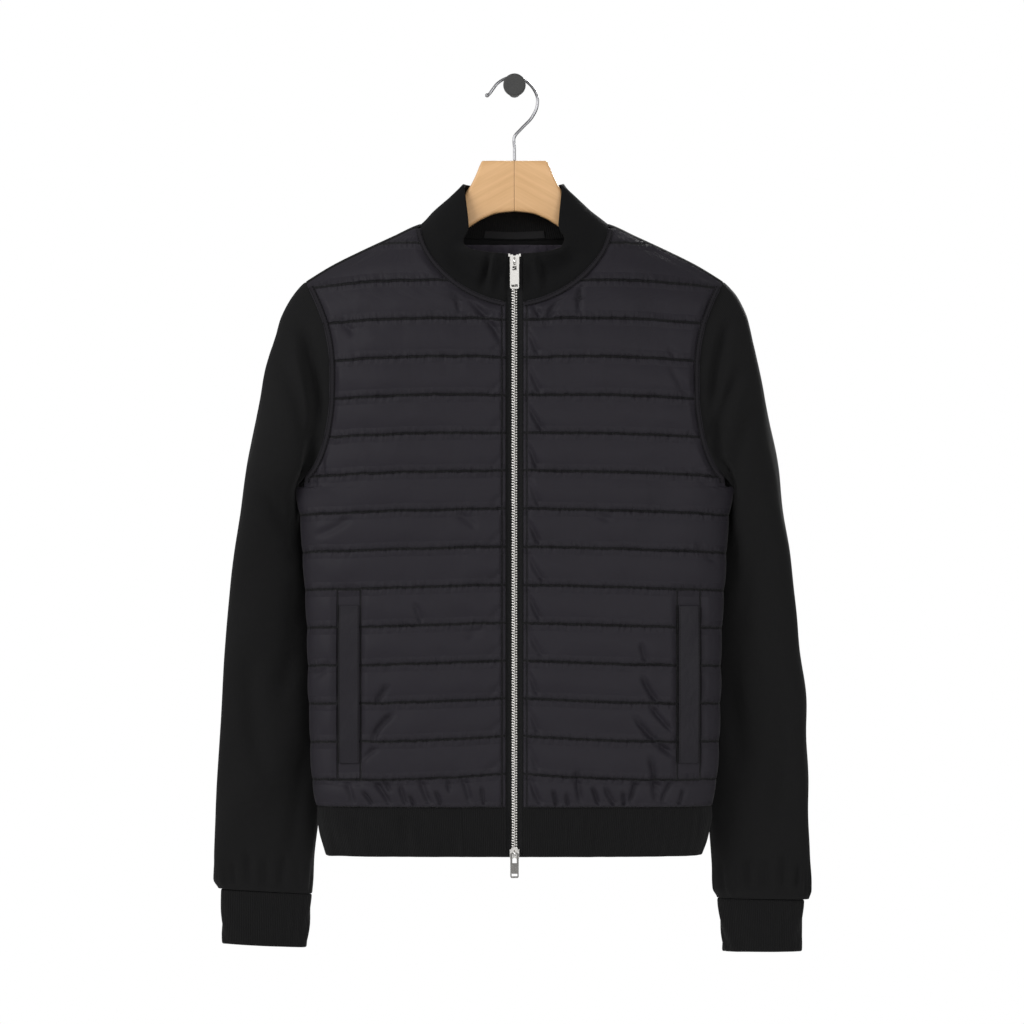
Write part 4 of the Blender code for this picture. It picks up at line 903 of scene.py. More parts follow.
def puffed_height(x, z, base, side):
    """How far a front stands out from its seams: in each channel a sine to a power below one, lower near
    the zip, the bands, the side seam and the pocket, uneven over a hand's breadth, gathered beside the
    quilting rows, and pressed in by the folds. A slanted fold runs from the zip into every channel."""
    seed = 11 if side > 0 else 29
    count = quilt_count(x, z, seed + 6)
    share = count - np.floor(count)
    swell = np.sin(np.pi * np.clip(share, 1e-6, 1) ** SAG) ** FULLNESS
    heights = np.linspace(NECK_TOP, NECK_FRONT, 60)
    from_neck = distance_to(base, on_torso(neckline(heights), heights, -1))
    from_side = distance_to(base, base[::3, -1])
    low = rise(-z, -UNDERARM - 0.01, -UNDERARM + 0.01)
    fade = rise(from_neck, *NECK_FADE) * rise(x - ZIP_EDGE, *ZIP_FADE)
    fade = fade * (1 - (1 - rise(from_side, *ARMHOLE_FADE)) * (1 - low))
    fade = fade * (1 - low * (1 - SIDE_PUFF - (1 - SIDE_PUFF) * rise(from_side, *SIDE_FADE)))
    from_shoulder = shoulder_line(x) - z
    fade = fade * np.where(x > 0.9 * NECK_SIDE, rise(from_shoulder, *SHOULDER_FADE), 1) ** 0.6
    shift = POCKET_SHIFT["right" if side > 0 else "left"]
    pocket = in_pocket(x, z, shift)
    fade = fade * (POCKET_PUFF + (1 - POCKET_PUFF) * rise(pocket, *POCKET_FADE))
    uneven = 1 + 0.16 * ripples(seed, x, z, 0.11) + 0.08 * ripples(seed + 1, x, z, 0.045)
    height = PUFF * swell * uneven * fade
    near = np.minimum(share, 1 - share) * PITCH
    gather = ripples(seed + 2, x, count * 0.006, 0.011, stretch=1.0) * np.exp(-near / 0.006)
    gather = gather + 0.5 * ripples(seed + 3, x, z, 0.021) * np.exp(-near / 0.013)
    height = height + GATHER * gather * swell * fade
    pressed = 0
    for fold in RIGHT_FOLDS if side > 0 else LEFT_FOLDS:
        fold = fold._replace(depth=FOLD_DEPTH * fold.depth, width=FOLD_WIDTH * fold.width)
        pressed = pressed + crease(x, z, fold)
    draw = np.random.default_rng(seed + 4)
    later, deep = END_FOLD["right" if side > 0 else "left"]
    for row in range(1, LAST_LINE):
        top = -(LINE_START + (row - 2) * LINE_STEP)
        a, b, c = draw.uniform(-1, 1, 3)
        fold = Fold(
            END_FOLD_REACH[0] + 0.0015 * a,
            top - LINE_STEP * (END_FOLD_DROP[0] * later + 0.06 * b),
            END_FOLD_REACH[1] + 0.004 * c,
            top - LINE_STEP * (END_FOLD_DROP[1] + 0.02 * a),
            0.0030,
            deep * (1 + 0.35 * b),
            0.0008 * c,
        )
        pressed = pressed + crease(x, z, fold)
    return height - pressed * fade * np.clip(swell * 1.6, 0, 1)


def make_fronts():
    """Both quilted fronts: a flat inner face, a puffed outer one, and maps for their stitched rows and for
    the painted shadow in each pocket's opening.
    """
    base = front_base()
    normals = facing_out(base)
    plain = measured(base)
    x, z = base[..., 0], base[..., 2]
    for name, side in SIDES:
        aside = np.minimum(x - ZIP_ROW, in_pocket(x, z, POCKET_SHIFT[name]))
        # Distance to the line of the painted shadow in the pocket's opening, and how far within the welt's
        # ends.
        slot = x - WELT_OUT - POCKET_SHADOW_ASIDE if side < 0 else WELT_IN + POCKET_SHIFT[name] - POCKET_SHADOW_ASIDE - x
        ends = np.minimum(z - WELT_FOOT, WELT_TOP - z)
        count = quilt_count(x, z, 17 if side > 0 else 35)
        maps = grid_of(x, count, aside, z, slot, ends)
        inner = lift(np.concatenate([plain, maps], axis=-1), normals, -QUILT_WALL)
        outer = lift(inner, normals, QUILT_WALL + puffed_height(x, z, base, side))
        side_cloth("quilted front", name, outer, inner, QUILTED, [f"front_{name}"], maps=FRONT_MAPS)


def make_welts():
    """A welt: a strip on the front, a little fuller in its middle, stitched down at its ends."""
    share = np.linspace(0, 1, 15)
    levels = np.linspace(WELT_TOP, WELT_FOOT, 90)
    plain = on_torso(WELT_IN + (WELT_OUT - WELT_IN) * share, levels[:, None], -1)
    across = np.broadcast_to((WELT_OUT - WELT_IN) * share, plain.shape[:2])
    down = np.broadcast_to(levels[:, None], plain.shape[:2])
    ends = np.minimum(WELT_TOP - down, down - WELT_FOOT)
    for number, (name, _) in enumerate(SIDES):
        places = WELT_IN + POCKET_SHIFT[name] + (WELT_OUT - WELT_IN) * share
        grid = on_torso(places, levels[:, None], -1)
        normals = facing_out(grid)
        grid = np.concatenate([grid, across[..., None], down[..., None]], axis=-1)
        full = 0.0004 * ripples(61 + number, grid[..., 0], grid[..., 2], 0.05)
        full = full + 0.0007 * rise(ends, 0.002, 0.02)
        gape = 0.0016 * share**3 * rise(ends, 0.005, 0.06)
        lower = lift(grid, normals, SEAM_GAP + 0.0006 + 0.6 * full + gape)
        upper = lift(lower, normals, 0.0019 + full * 0.4)
        side_cloth("pocket welt", name, upper, lower, WELT)


def along_edge(path, width, start, rows, facing=-1):
    """A strip on the torso beside a path of (x, z), from start to width aside of it."""
    run = np.gradient(path, axis=0)
    aside = unit(grid_of(-run[:, 1], run[:, 0]))
    steps = np.linspace(start, width, rows)
    flat = path[:, None] + aside[:, None] * steps[None, :, None]
    grid = on_torso(np.maximum(flat[..., 0], ZIP_EDGE + SEAM_GAP), flat[..., 1], facing)
    return np.concatenate([grid, grid_of(steps - start, run_along(grid[:, 0])[:, None])], axis=-1)


BAND_START, BAND_END, BAND_WALL = 0.0010, 0.0058, 0.0012


def make_bands():
    """Knitted bands topstitched beside the neckline and the armhole, a little rounded across."""
    heights = np.linspace(FRONT_TOP - 0.002, NECK_FRONT, 400)
    neck = smooth_path(grid_of(neckline(heights), heights, 0), 110)[:, :2]
    levels = np.linspace(-0.2120, UNDERARM + 0.004, 400)
    arm = smooth_path(grid_of(body_edge(levels), levels, 0), 130)[:, :2]
    for label, path, way in (("neck", neck, 1), ("armhole", arm, -1)):
        path = path if way > 0 else path[::-1]
        grid = along_edge(path, BAND_END, BAND_START, 11)
        normals = facing_out(grid[..., :3])
        across = grid[..., 3] / (BAND_END - BAND_START)
        round_top = 0.0005 * np.sin(np.pi * across) ** 0.7
        lower = lift(grid, normals, SEAM_GAP)
        upper = lift(lower, normals, BAND_WALL + round_top)
        for name, _ in SIDES:
            side_cloth(f"{label} band", name, upper, lower, BAND_KNIT)


# ---------------------------------------------------------------- back, collar and what is sewn inside

BACK_ACROSS = 141
BACK_ROWS = 176
LEVEL_BELOW = -0.275
EDGE_ROWS = 15


def back_shares(count):
    """Places across the back from -1 to 1, at even steps round its level section."""
    half = even_shares(count // 2 + 1)
    return np.concatenate([-half[:0:-1], half])


def back_base():
    """The back from its shoulder seam, just on the front, over the shoulder line or down from the back
    neckline, turning level below the shoulder blades."""
    places = back_shares(BACK_ACROSS)
    tip_seam = shoulder_line(SHOULDER_TIP) - SHOULDER_SEAM_DROP
    levels = tip_seam + (HEM_SEAM - tip_seam) * np.linspace(0, 1, BACK_ROWS) ** 1.12
    levels = levels[1:]
    turn = np.linspace(-1, 1, EDGE_ROWS)
    crossing = np.sign(turn) * turn**2 * SHOULDER_SEAM_DROP
    scale = np.concatenate([np.full(EDGE_ROWS, SHOULDER_TIP - 0.0010), body_edge(levels)])
    x = places * scale[:, None]
    line = shoulder_line(np.abs(x))
    neck_drop = line - through(BACK_NECK, "value", np.abs(x))
    at_neck = np.abs(x) < NECK_SIDE
    below = turn[:, None] * 0.5 + 0.5
    first = neck_drop[:EDGE_ROWS] + SHOULDER_SEAM_DROP * below
    first = np.where(at_neck[:EDGE_ROWS], first, crossing[:, None])
    start = (np.where(at_neck, neck_drop, 0) + SHOULDER_SEAM_DROP)[EDGE_ROWS:]
    seam = line[EDGE_ROWS:, -1:] - SHOULDER_SEAM_DROP
    share = np.clip((seam - levels[:, None]) / (seam - LEVEL_BELOW), 0, 1)
    level_drop = line[EDGE_ROWS:] - np.minimum(levels[:, None], LEVEL_BELOW) - start
    drops = np.concatenate([first, start + level_drop * share])
    z = line - np.abs(drops)
    y = MIDDLE_Y + np.where(drops < 0, -1, 1) * half_depth(x, z)
    return grid_of(x, y, z)


BACK_FOLDS = in_millimetres(
    Fold,
    (-150, -300, -70, -330, 16, 2.6, 4), (160, -330, 60, -352, 18, 2.4, -4),
    (-185, -410, -110, -470, 15, 3, 6), (190, -400, 120, -455, 14, 2.8, -5),
    (-120, -520, -135, -700, 17, 3.2, 6), (85, -480, 105, -690, 18, 3, -6),
    (-30, -420, -15, -650, 20, 2.2, 4), (165, -560, 150, -735, 12, 2.6, 3),
    (-70, -640, -60, -745, 10, 2.2, 2), (30, -680, 35, -748, 10, 2, 2),
)


def make_back():
    """The back panel, hanging in soft folds that fade towards its seams."""
    base = back_base()
    x, z = base[..., 0], base[..., 2]
    rows = np.linspace(0, 1, len(base))[:, None]
    edges = rise(rows, 0.06, 0.2) * (1 - rise(rows, 0.93, 1.0))
    edges = edges * (1 - rise(np.abs(back_shares(BACK_ACROSS)), 0.86, 0.99))
    hang = 0.0022 * ripples(41, x * 2.2, z, 0.20) + 0.0008 * ripples(42, x, z, 0.07)
    for fold in BACK_FOLDS:
        hang = hang - crease(x, z, fold)
    cloth("back panel", *wall(base, hang * edges, KNIT_WALL), JERSEY, ["back"])


COLLAR_ACROSS = 161
COLLAR_ROWS = 38
COLLAR_LAP = -0.035
COLLAR_ROUND = 0.42
RIDGE_HIGH = {"left": 0.0066, "right": 0.0034}


def half_neckline():
    """The right half of the neckline's seam, from the zip over the shoulder to the middle of the back."""
    heights = np.linspace(NECK_FRONT, FRONT_TOP, 260)
    front = on_torso(neckline(heights), heights, -1)
    drop = np.linspace(SHOULDER_SEAM_DROP, 0.0, 14)[1:-1]
    side_x = np.full(drop.shape, NECK_SIDE - 0.0004)
    side = on_torso(side_x, shoulder_line(side_x) - drop, -1)
    places = np.linspace(NECK_SIDE - 0.0006, 0, 200)
    back = on_torso(places, through(BACK_NECK, "value", places), 1)
    whole = np.concatenate([front[::6], side[::4], back[::5]])
    return smooth_path(whole, COLLAR_ACROSS // 2 + 1)


def collar_base():
    """The collar: straight from the neckline to its folded edge but a little hollow, the edge read from
    its table by the share of the way round."""
    half = half_neckline()
    half[-1, 0] = 0
    whole = np.concatenate([half, half[-2::-1] * (-1, 1, 1)])
    shares = np.linspace(0, 1, len(half))
    across = through(COLLAR_TOP, "across", shares)
    forward = through(COLLAR_TOP, "forward", shares)
    height = through(COLLAR_TOP, "height", shares)
    side = grid_of(across, MIDDLE_Y - forward, height)
    top = np.concatenate([side, side[-2::-1] * (-1, 1, 1)])
    top[:, 0] -= COLLAR_LEAN * rise(np.abs(np.linspace(-1, 1, COLLAR_ACROSS)) * -1, -0.9, -0.6)
    up = np.linspace(COLLAR_LAP, 1, COLLAR_ROWS)[:, None, None]
    grid = whole + (top - whole) * up
    inward = unit((np.array([0, MIDDLE_Y, 0]) - grid) * (1, 1, 0))
    to_side = np.clip(np.abs(grid[..., :1]) / NECK_SIDE, 0, 1) ** 2
    return grid + inward * COLLAR_HOLLOW * to_side * 4 * up * (1 - up)


def make_collar():
    """The doubled collar, rounded up its height, with a soft fold beside the zip that is higher on the left
    and a roll below the folded edge in front."""
    base = collar_base()
    normals = normals_of(base, base * (0.3, 0, 1) + (0, MIDDLE_Y, 0))
    turn = np.linspace(-1, 1, COLLAR_ACROSS)[None]
    from_zip = (1 - np.abs(turn)) * 0.5 * COLLAR_ROUND
    up = np.linspace(0, 1, COLLAR_ROWS)[:, None]
    around = np.linspace(0, COLLAR_ROUND, COLLAR_ACROSS)[None]
    soft = 0.0016 * ripples(71, around, up * 0.05, 0.06) * rise(up, 0.02, 0.4)
    ridge = bell(from_zip, 0.016, 0.0035) - 1.1 * bell(from_zip, 0.0235, 0.0045)
    ridge_high = np.where(turn < 0, RIDGE_HIGH["right"], RIDGE_HIGH["left"])
    soft = soft + ridge_high * ridge * rise(up, 0.0, 0.45) * (1 - 0.75 * rise(up, 0.70, 1.0))
    front = 1 - rise(from_zip, 0.055, 0.085)
    soft = soft + front * (0.0034 * bell(up, 0.88, 0.13) - 0.0042 * bell(up, 0.50, 0.22))
    bulge = 0.0010 * np.sin(np.pi * np.clip(up, 0, 1))
    edge = rise(from_zip, 0.0, 0.008)
    outer = lift(measured(base), normals, (soft + bulge) * edge)
    inner = lift(outer, normals, -DOUBLE_WALL)
    # The inner face's map moved aside, where the knit is painted lighter.
    inner[..., 3] += INNER_ASIDE
    cloth("collar", outer, inner, COLLAR_KNIT, ["collar"])
    return base, normals


TAPE_HALF = 0.032
TAPE_LOW, TAPE_HIGH = 0.03, 0.17
LINING_HALF = 0.084
LINING_TOP, LINING_FOOT = -0.1640, -0.2050
LINING_CLEAR = 0.0009
LINING_WALL = 0.001


def make_neck_tape(base, normals):
    """A flat tape on the collar's inner face at the middle of the back, held by two rows of stitches."""
    half = COLLAR_ACROSS // 2
    run = run_along(base[2, half:])
    run = np.concatenate([-run[:0:-1], run])
    places = np.interp(np.linspace(-TAPE_HALF, TAPE_HALF, 61), run, np.arange(COLLAR_ACROSS))
    levels = np.linspace(TAPE_LOW, TAPE_HIGH, 9) * (COLLAR_ROWS - 1)
    column, row = np.floor(places).astype(int), np.floor(levels).astype(int)
    across, down = (places - column)[None, :, None], (levels - row)[:, None, None]

    def between(grid):
        upper = grid[row][:, column] * (1 - across) + grid[row][:, column + 1] * across
        lower = grid[row + 1][:, column] * (1 - across) + grid[row + 1][:, column + 1] * across
        return upper * (1 - down) + lower * down

    grid, facing = between(base), unit(between(normals))
    plain = measured(grid)
    turned = np.concatenate([grid, -plain[..., 4:5], plain[..., 3:4]], axis=-1)
    outer = lift(turned, facing, -DOUBLE_WALL - 0.0002)
    inner = lift(outer, facing, -0.0009)
    cloth("neck tape", outer, inner, NECK_TAPE, ["neck_tape"])


def make_back_lining():
    """Nylon inside the back below its neckline, gathered into upright folds of uneven width."""
    places = np.linspace(-LINING_HALF, LINING_HALF, 96)
    grid = on_torso(places, np.linspace(LINING_TOP, LINING_FOOT, 24)[:, None], 1)
    folds = 0.0007 * ripples(81, places[None] + 0.15 * grid[..., 2], 0.1 * grid[..., 2], 0.011)
    folds = folds + 0.0009 * ripples(82, places[None], 0.35 * grid[..., 2], 0.026)
    height = -KNIT_WALL - LINING_CLEAR + np.minimum(folds, 0.0006) - 0.0006
    cloth("back neck lining", *wall(grid, height, LINING_WALL), LINING, ["back_neck_lining"])


# ---------------------------------------------------------------- sleeves, cuffs and hem

SLEEVE_AROUND = 92
SLEEVE_DROP = {"left": 0.0040, "right": 0.0119}
SLEEVE_SLANT = {"left": 0.061, "right": -0.013}
CUFF_DROP = {"left": 0.0030, "right": 0.0091}
CUFF_SLANT_END = {"left": 0.051, "right": 0.0075}
CAP_ROWS, TUBE_ROWS = 84, 150
SETBACK = -0.0012
SLEEVE_PRESS = 1.9
SLEEVE_WIDER = {"left": 0.0012, "right": 0.0034}
SMOOTH_PASSES, DEPTH_PASSES = 90, 420
EASED_FROM, EASED_TO = (22, 60), 190
DEPTH_WEIGHTS, ALONG_WEIGHT, ROUND_WEIGHT = (0.15, 0.45), 0.40, 0.16
SLEEVE_MIDDLE = 0.260
SLEEVE_SEED, CUFF_SEED = {"left": 101, "right": 91}, {"left": 121, "right": 111}
VALLEY_RANGE = (0.250, 0.315), (0.395, 0.450)


def armhole_ring():
    """The right armhole: down the front from the shoulder tip to the underarm, and up the back."""
    levels = np.linspace(ARMHOLE[0].along, UNDERARM, 300)
    path = on_torso(through(ARMHOLE, "value", levels), levels, -1)
    path[0, 1] = path[-1, 1] = MIDDLE_Y
    half = smooth_path(path[::6].tolist() + [path[-1].tolist()], SLEEVE_AROUND // 2 + 1)
    back = half[-2:0:-1] * (1, -1, 1) + (0, 2 * MIDDLE_Y, 0)
    return np.concatenate([half, back])


def round_ring(count):
    """Cosine and sine round a ring of points, sharpened to a superellipse."""
    turn = 2 * np.pi * np.arange(count) / count
    cos, sin = np.cos(turn), np.sin(turn)
    return squared(cos, 2 / SLEEVE_POWER), squared(sin, 2 / SLEEVE_POWER)


def sleeve_rings(heights, side):
    """Flattened rings, each from its outer end over its front, their sizes read from the table."""
    cos, sin = round_ring(SLEEVE_AROUND)
    read = read_all(SLEEVE, heights)
    outer = read[f"{side}_outer"]
    middle, reach = (outer + read["inner"]) / 2, (outer - read["inner"]) / 2
    back = (read["outer_back"] + read["inner_back"]) / 2
    slant = (read["outer_back"] - read["inner_back"]) / 2
    y = MIDDLE_Y + back + slant * cos - read["half_depth"] * sin
    return grid_of(middle + reach * cos, y, heights[:, None] + read["tilt"] * cos)


def clear_of_body(points, freed):
    """The points, moved straight away from a centre inside the torso's side where they would lie too near
    to it. The clearance is whole where freed is 1, and nothing at the seam."""
    x, y, z = points[..., 0], points[..., 1] - MIDDLE_Y, points[..., 2]
    wide, deep = (size + CLEAR_OF_BODY * freed for size in torso_size(z))
    centre = wide - SIDE_CENTRE

    def reached(share):
        aside = np.maximum(centre + (x - centre) * share, 0) / wide
        return aside**ROUNDNESS + np.abs(y * share / deep) ** ROUNDNESS

    low, high = np.ones_like(x), np.full(x.shape, 8.0)
    for _ in range(26):
        half = (low + high) / 2
        short = reached(half) < 1
        low, high = np.where(short, half, low), np.where(short, high, half)
    crowded = rise(-z, -CROWDED_BELOW - 0.012, -CROWDED_BELOW + 0.012)
    share = 1 + (low - 1) * crowded * (low > 1 + 1e-6)
    return grid_of(centre + (x - centre) * share, MIDDLE_Y + y * share, z)


def hung(points, side):
    """The sleeve's end let down, and slanted, as that side's hangs."""
    lower = rise(-points[..., 2], 0.58, 0.838)
    from_middle = points[..., 0] - SLEEVE_MIDDLE
    moved = points.copy()
    moved[..., 2] += lower * (-SLEEVE_DROP[side] + SLEEVE_SLANT[side] * from_middle)
    outer_part = rise(-points[..., 2], 0.34, 0.44) * np.clip((points[..., 0] - 0.20) / 0.10, 0, 1)
    moved[..., 0] += SLEEVE_WIDER[side] * outer_part
    return moved


def sleeve_base(side):
    """A sleeve: cubic curves from the armhole's points to the first ring, then ring by ring to the cuff,
    all smoothed by moving each point towards the mean of its neighbours."""
    loop = armhole_ring()
    heights = np.linspace(SLEEVE[0].height, SLEEVE[-1].height, TUBE_ROWS)
    rings = clear_of_body(sleeve_rings(heights, side), 1.0)
    lowness = (loop[:, 2] - loop[0, 2]) / (UNDERARM - loop[0, 2])
    reach = {name: through(SLEEVE_CAP, name, lowness) for name in Reach._fields[1:]}
    facing = MIDDLE_Y - loop[:, 1]
    facing = -np.tanh(4 * (facing / np.abs(facing).max()))
    away = unit(grid_of(reach["out"], facing * reach["forward"], -reach["down"]))
    near_top = 1 - rise(lowness, 0, 0.5)
    leave = reach["leave"] * (1 - (1 - SLEEVE_REACH[side]) * near_top)
    first = loop + away * leave[:, None]
    later = clear_of_body(sleeve_rings(heights[0] - np.array([0, 0.045]), side), 1.0)
    second = rings[0] - unit(later[1] - later[0]) * reach["arrive"][:, None]
    second[:, 0] -= reach["tuck"] * SLEEVE_TUCK[side]
    t = np.linspace(0, 1, CAP_ROWS)[:-1, None, None]
    cap = (1 - t) ** 3 * loop + 3 * t * (1 - t) ** 2 * first
    cap = cap + 3 * t**2 * (1 - t) * second + t**3 * rings[0]
    cap[1:] = clear_of_body(cap[1:], np.clip(3 * t[1:, :, 0], 0, 1))
    cap[0, :, 0] += SETBACK
    whole = np.concatenate([cap, rings])
    row = np.arange(len(whole))[1:-1, None, None]
    ease_off = rise(row, *EASED_FROM) * (1 - rise(row, EASED_TO, len(whole) - 6))
    for _ in range(DEPTH_PASSES):
        between = (whole[:-2, :, :2] + whole[2:, :, :2]) / 2
        whole[1:-1, :, :2] += ease_off * DEPTH_WEIGHTS * (between - whole[1:-1, :, :2])
    for _ in range(SMOOTH_PASSES):
        between = (whole[:-2] + whole[2:]) / 2
        round_it = (np.roll(whole[1:-1], 1, axis=1) + np.roll(whole[1:-1], -1, axis=1)) / 2
        pull = ALONG_WEIGHT * (between - whole[1:-1]) + ROUND_WEIGHT * (round_it - whole[1:-1])
        whole[1:-1] += ease_off * pull
    return hung(whole, side)


SLEEVE_FOLDS = {
    "left": in_millimetres(
        Fold,
        (220, -255, 203, -345, 6.5, 4.2, 3), (238, -290, 214, -395, 8, 2.8, 4),
        (205, -400, 228, -500, 9, 3.4, -5), (262, -420, 236, -470, 9, 2, 3),
        (225, -520, 245, -640, 11, 2.6, 6), (275, -600, 262, -720, 10, 2.2, -5),
        (222, -690, 236, -800, 9, 2.2, 4), (279, -800, 276, -836, 3.6, 2.4, 0),
        (262, -806, 260, -837, 3.2, 2, 1), (240, -803, 243, -837, 3.4, 2, -1),
        (295, -812, 292, -837, 3, 1.8, 0),
    ),
    "right": in_millimetres(
        Fold,
        (222, -250, 206, -335, 6, 3.6, 3), (232, -300, 211, -380, 7, 4, 4),
        (250, -330, 226, -440, 9, 2.4, 5), (206, -410, 226, -520, 9, 3.2, -5),
        (258, -480, 240, -580, 11, 2.4, 6), (226, -600, 240, -720, 11, 2.4, 5),
        (280, -640, 270, -770, 10, 2, -5), (245, -805, 245, -837, 3.4, 2.2, 1),
        (263, -808, 263, -837, 3.4, 2.2, 0), (282, -803, 280, -837, 3.6, 2, 1),
        (298, -812, 296, -837, 3, 1.8, 0),
    ),
}


def sleeve_nodes(name):
    """The CAD nodes of one side's sleeve panels."""
    return [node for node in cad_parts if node.startswith("sleeve") and node.endswith(name)]


def closed_ring(points):
    """Rings with their first point repeated at their end."""
    return np.concatenate([points, points[:, :1]], axis=1)


def round_places():
    """Places on a circle of a sleeve's size, for unevenness that meets itself round a ring."""
    turn = 2 * np.pi * np.arange(SLEEVE_AROUND + 1) / SLEEVE_AROUND
    return 0.045 * np.cos(turn)[None], 0.045 * np.sin(turn)[None]


def make_sleeves():
    """Both sleeves: soft unevenness, gathers above the cuff, creases in front and other ones behind, and a
    step along the valley where the sleeve turns off the body."""
    for name, side in SIDES:
        base = closed_ring(sleeve_base(name))
        normals = facing_out(base, ring=True)
        x, z = base[..., 0], base[..., 2]
        row = np.arange(len(base))[:, None]
        started = rise(row, 2, 14)
        ended = 1 - rise(row, len(base) - 5, len(base) - 1)
        loop_x, loop_y = round_places()
        seed = SLEEVE_SEED[name]
        soft = 0.0016 * ripples(seed, loop_x + 0.25 * z, loop_y - 0.2 * z, 0.10)
        soft = soft + 0.0007 * ripples(seed + 1, loop_x + 0.5 * z, loop_y, 0.05)
        gathers = 0.0009 * ripples(seed + 2, loop_x, loop_y, 0.014) * rise(-z, 0.800, 0.834)
        pressed = sum(SLEEVE_PRESS * crease(x, z, fold) for fold in SLEEVE_FOLDS[name])
        front, behind = (np.clip(way * 1.6 * normals[..., 1], 0, 1) for way in (-1, 1))
        aside = x - through(VALLEY, "value", z)
        stepped = rise(aside, -0.001, 0.012) * (1 - rise(aside, 0.018, 0.080))
        stepped = stepped * rise(-z, *VALLEY_RANGE[0]) * (1 - rise(-z, *VALLEY_RANGE[1]))
        pressed = pressed - VALLEY_STEP[name] * stepped
        swapped = sum(crease(x, z + 0.03, fold) for fold in SLEEVE_FOLDS["left" if side > 0 else "right"])
        away = rise(x - through(TORSO, "half_width", z), -0.03, 0.03)
        height = (soft * away + gathers - pressed * front - swapped * behind) * started * ended
        panels = wall(base, height, KNIT_WALL, ring=True)
        side_cloth("sleeve", name, *panels, JERSEY, sleeve_nodes(name), ring=True)


CUFF_ROWS = 30


def make_cuffs():
    """Ribbed cuffs: flattened rings, drawn in a little below the sleeve's seam."""
    for name, _ in SIDES:
        heights = np.linspace(CUFFS[0].height, CUFFS[-1].height, CUFF_ROWS)
        read = read_all(CUFFS, heights)
        outer, inner = read[f"{name}_outer"], read[f"{name}_inner"]
        cos, sin = round_ring(SLEEVE_AROUND)
        middle, reach = (outer + inner) / 2, (outer - inner) / 2
        y = MIDDLE_Y + CUFF_BACK - CUFF_SLANT * cos - read["half_depth"] * sin
        down = np.linspace(0, 1, CUFF_ROWS)[:, None]
        from_middle = middle + reach * cos - SLEEVE_MIDDLE
        slant = SLEEVE_SLANT[name] + (CUFF_SLANT_END[name] - SLEEVE_SLANT[name]) * down
        drop = SLEEVE_DROP[name] + (CUFF_DROP[name] - SLEEVE_DROP[name]) * down
        z = heights[:, None] - drop + slant * from_middle
        base = closed_ring(grid_of(middle + reach * cos, y, z))
        loop_x, loop_y = round_places()
        soft = 0.0007 * ripples(CUFF_SEED[name], loop_x, loop_y + base[..., 2], 0.03)
        puff = 0.0010 * np.sin(np.pi * np.linspace(0, 1, CUFF_ROWS))[:, None] ** 0.6
        height = soft * np.linspace(0.2, 1, CUFF_ROWS)[:, None] + puff - 0.0006
        side_cloth("cuff", name, *wall(base, height, DOUBLE_WALL, ring=True), RIB, ring=True)


HEM_ROWS = 28
HEM_LAP, LAP_SINK = 0.0012, 0.0004
HEM_AROUND = 250


def hem_swell():
    """The doubled band's soft fullness between its seam and its folded edge, its top tucked under."""
    share = np.linspace(0, 1, HEM_ROWS)[:, None]
    return 0.0013 * np.sin(np.pi * np.clip(share, 0, 1)) ** 0.5 - LAP_SINK * (share < 0.05)


def make_hem():
    """The ribbed hem band from tab to tab round the back, and the two tabs beside the zip."""
    levels = np.linspace(HEM_SEAM + HEM_LAP, HEM_EDGE, HEM_ROWS)
    wide, deep = torso_size(levels[:, None])
    start = np.arcsin((TAB_EDGE / HEM_HALF_WIDTH) ** (ROUNDNESS / 2))
    power = 2 / ROUNDNESS
    dense = np.linspace(start, 2 * np.pi - start, 6000)
    round_x, round_y = squared(np.sin(dense), power), squared(np.cos(dense), power)
    run = run_along(grid_of(round_x * HEM_HALF_WIDTH, round_y * HEM_HALF_DEPTH))
    angles = np.interp(np.linspace(0, run[-1], HEM_AROUND), run, dense)
    x = wide * squared(np.sin(angles), power)
    y = MIDDLE_Y - deep * squared(np.cos(angles), power)
    grid = grid_of(x, y, levels[:, None])
    around, down = np.linspace(0, 0.93, HEM_AROUND)[None], levels[:, None]
    below_seam = rise(-down, -HEM_SEAM, 0.765)
    soft = 0.0007 * ripples(131, around, down, 0.05) + 0.0005 * ripples(132, around, 0.4 * down, 0.02)
    cloth("hem band", *wall(grid, soft * below_seam + hem_swell(), DOUBLE_WALL), RIB, ["hem_band"])
    share = np.linspace(0, 1, 40)
    tab = on_torso(ZIP_EDGE + (grid[:, 0, :1] - ZIP_EDGE + 0.0010) * share, levels[:, None], -1)
    for name, side in SIDES:
        soft = 0.0005 * ripples(141 + side, tab[..., 0], tab[..., 2], 0.03) * below_seam
        side_cloth("hem tab", name, *wall(tab, soft + hem_swell(), DOUBLE_WALL), RIB)


# ---------------------------------------------------------------- zip

TEETH_PITCH = 0.00276
TOOTH_DEEP = 0.0019


def zip_front(z):
    """How far forward the cloth's outer face is beside the zip: the torso, then the collar's edge."""
    z = np.asarray(z, float)
    torso = half_depth(0.0, np.minimum(z, NECK_FRONT))
    share = rise(z, NECK_FRONT, NECK_FRONT + COLLAR_ZIP_RISE)
    return torso + (COLLAR_TOP[0].forward - torso) * share


def make_tapes():
    """The zip's woven tapes, thicker at the cord along their inner edge."""
    levels = np.linspace(TAPE_TOP, TAPE_BOTTOM, 120)
    places = np.linspace(TAPE_EDGE, TAPE_OUT, 10)
    cord = 0.0005 * bell(places, TAPE_EDGE + 0.0006, 0.0007)
    y = MIDDLE_Y - zip_front(levels)[:, None] + TAPE_DEPTH - cord
    grid = grid_of(places, y, levels[:, None])
    plain = measured(grid)
    back = plain.copy()
    back[..., 1] += TAPE_WALL + np.broadcast_to(cord, back.shape[:2])
    for name, _ in SIDES:
        side_cloth("zip tape", name, plain, back, ZIP_CLOTH)


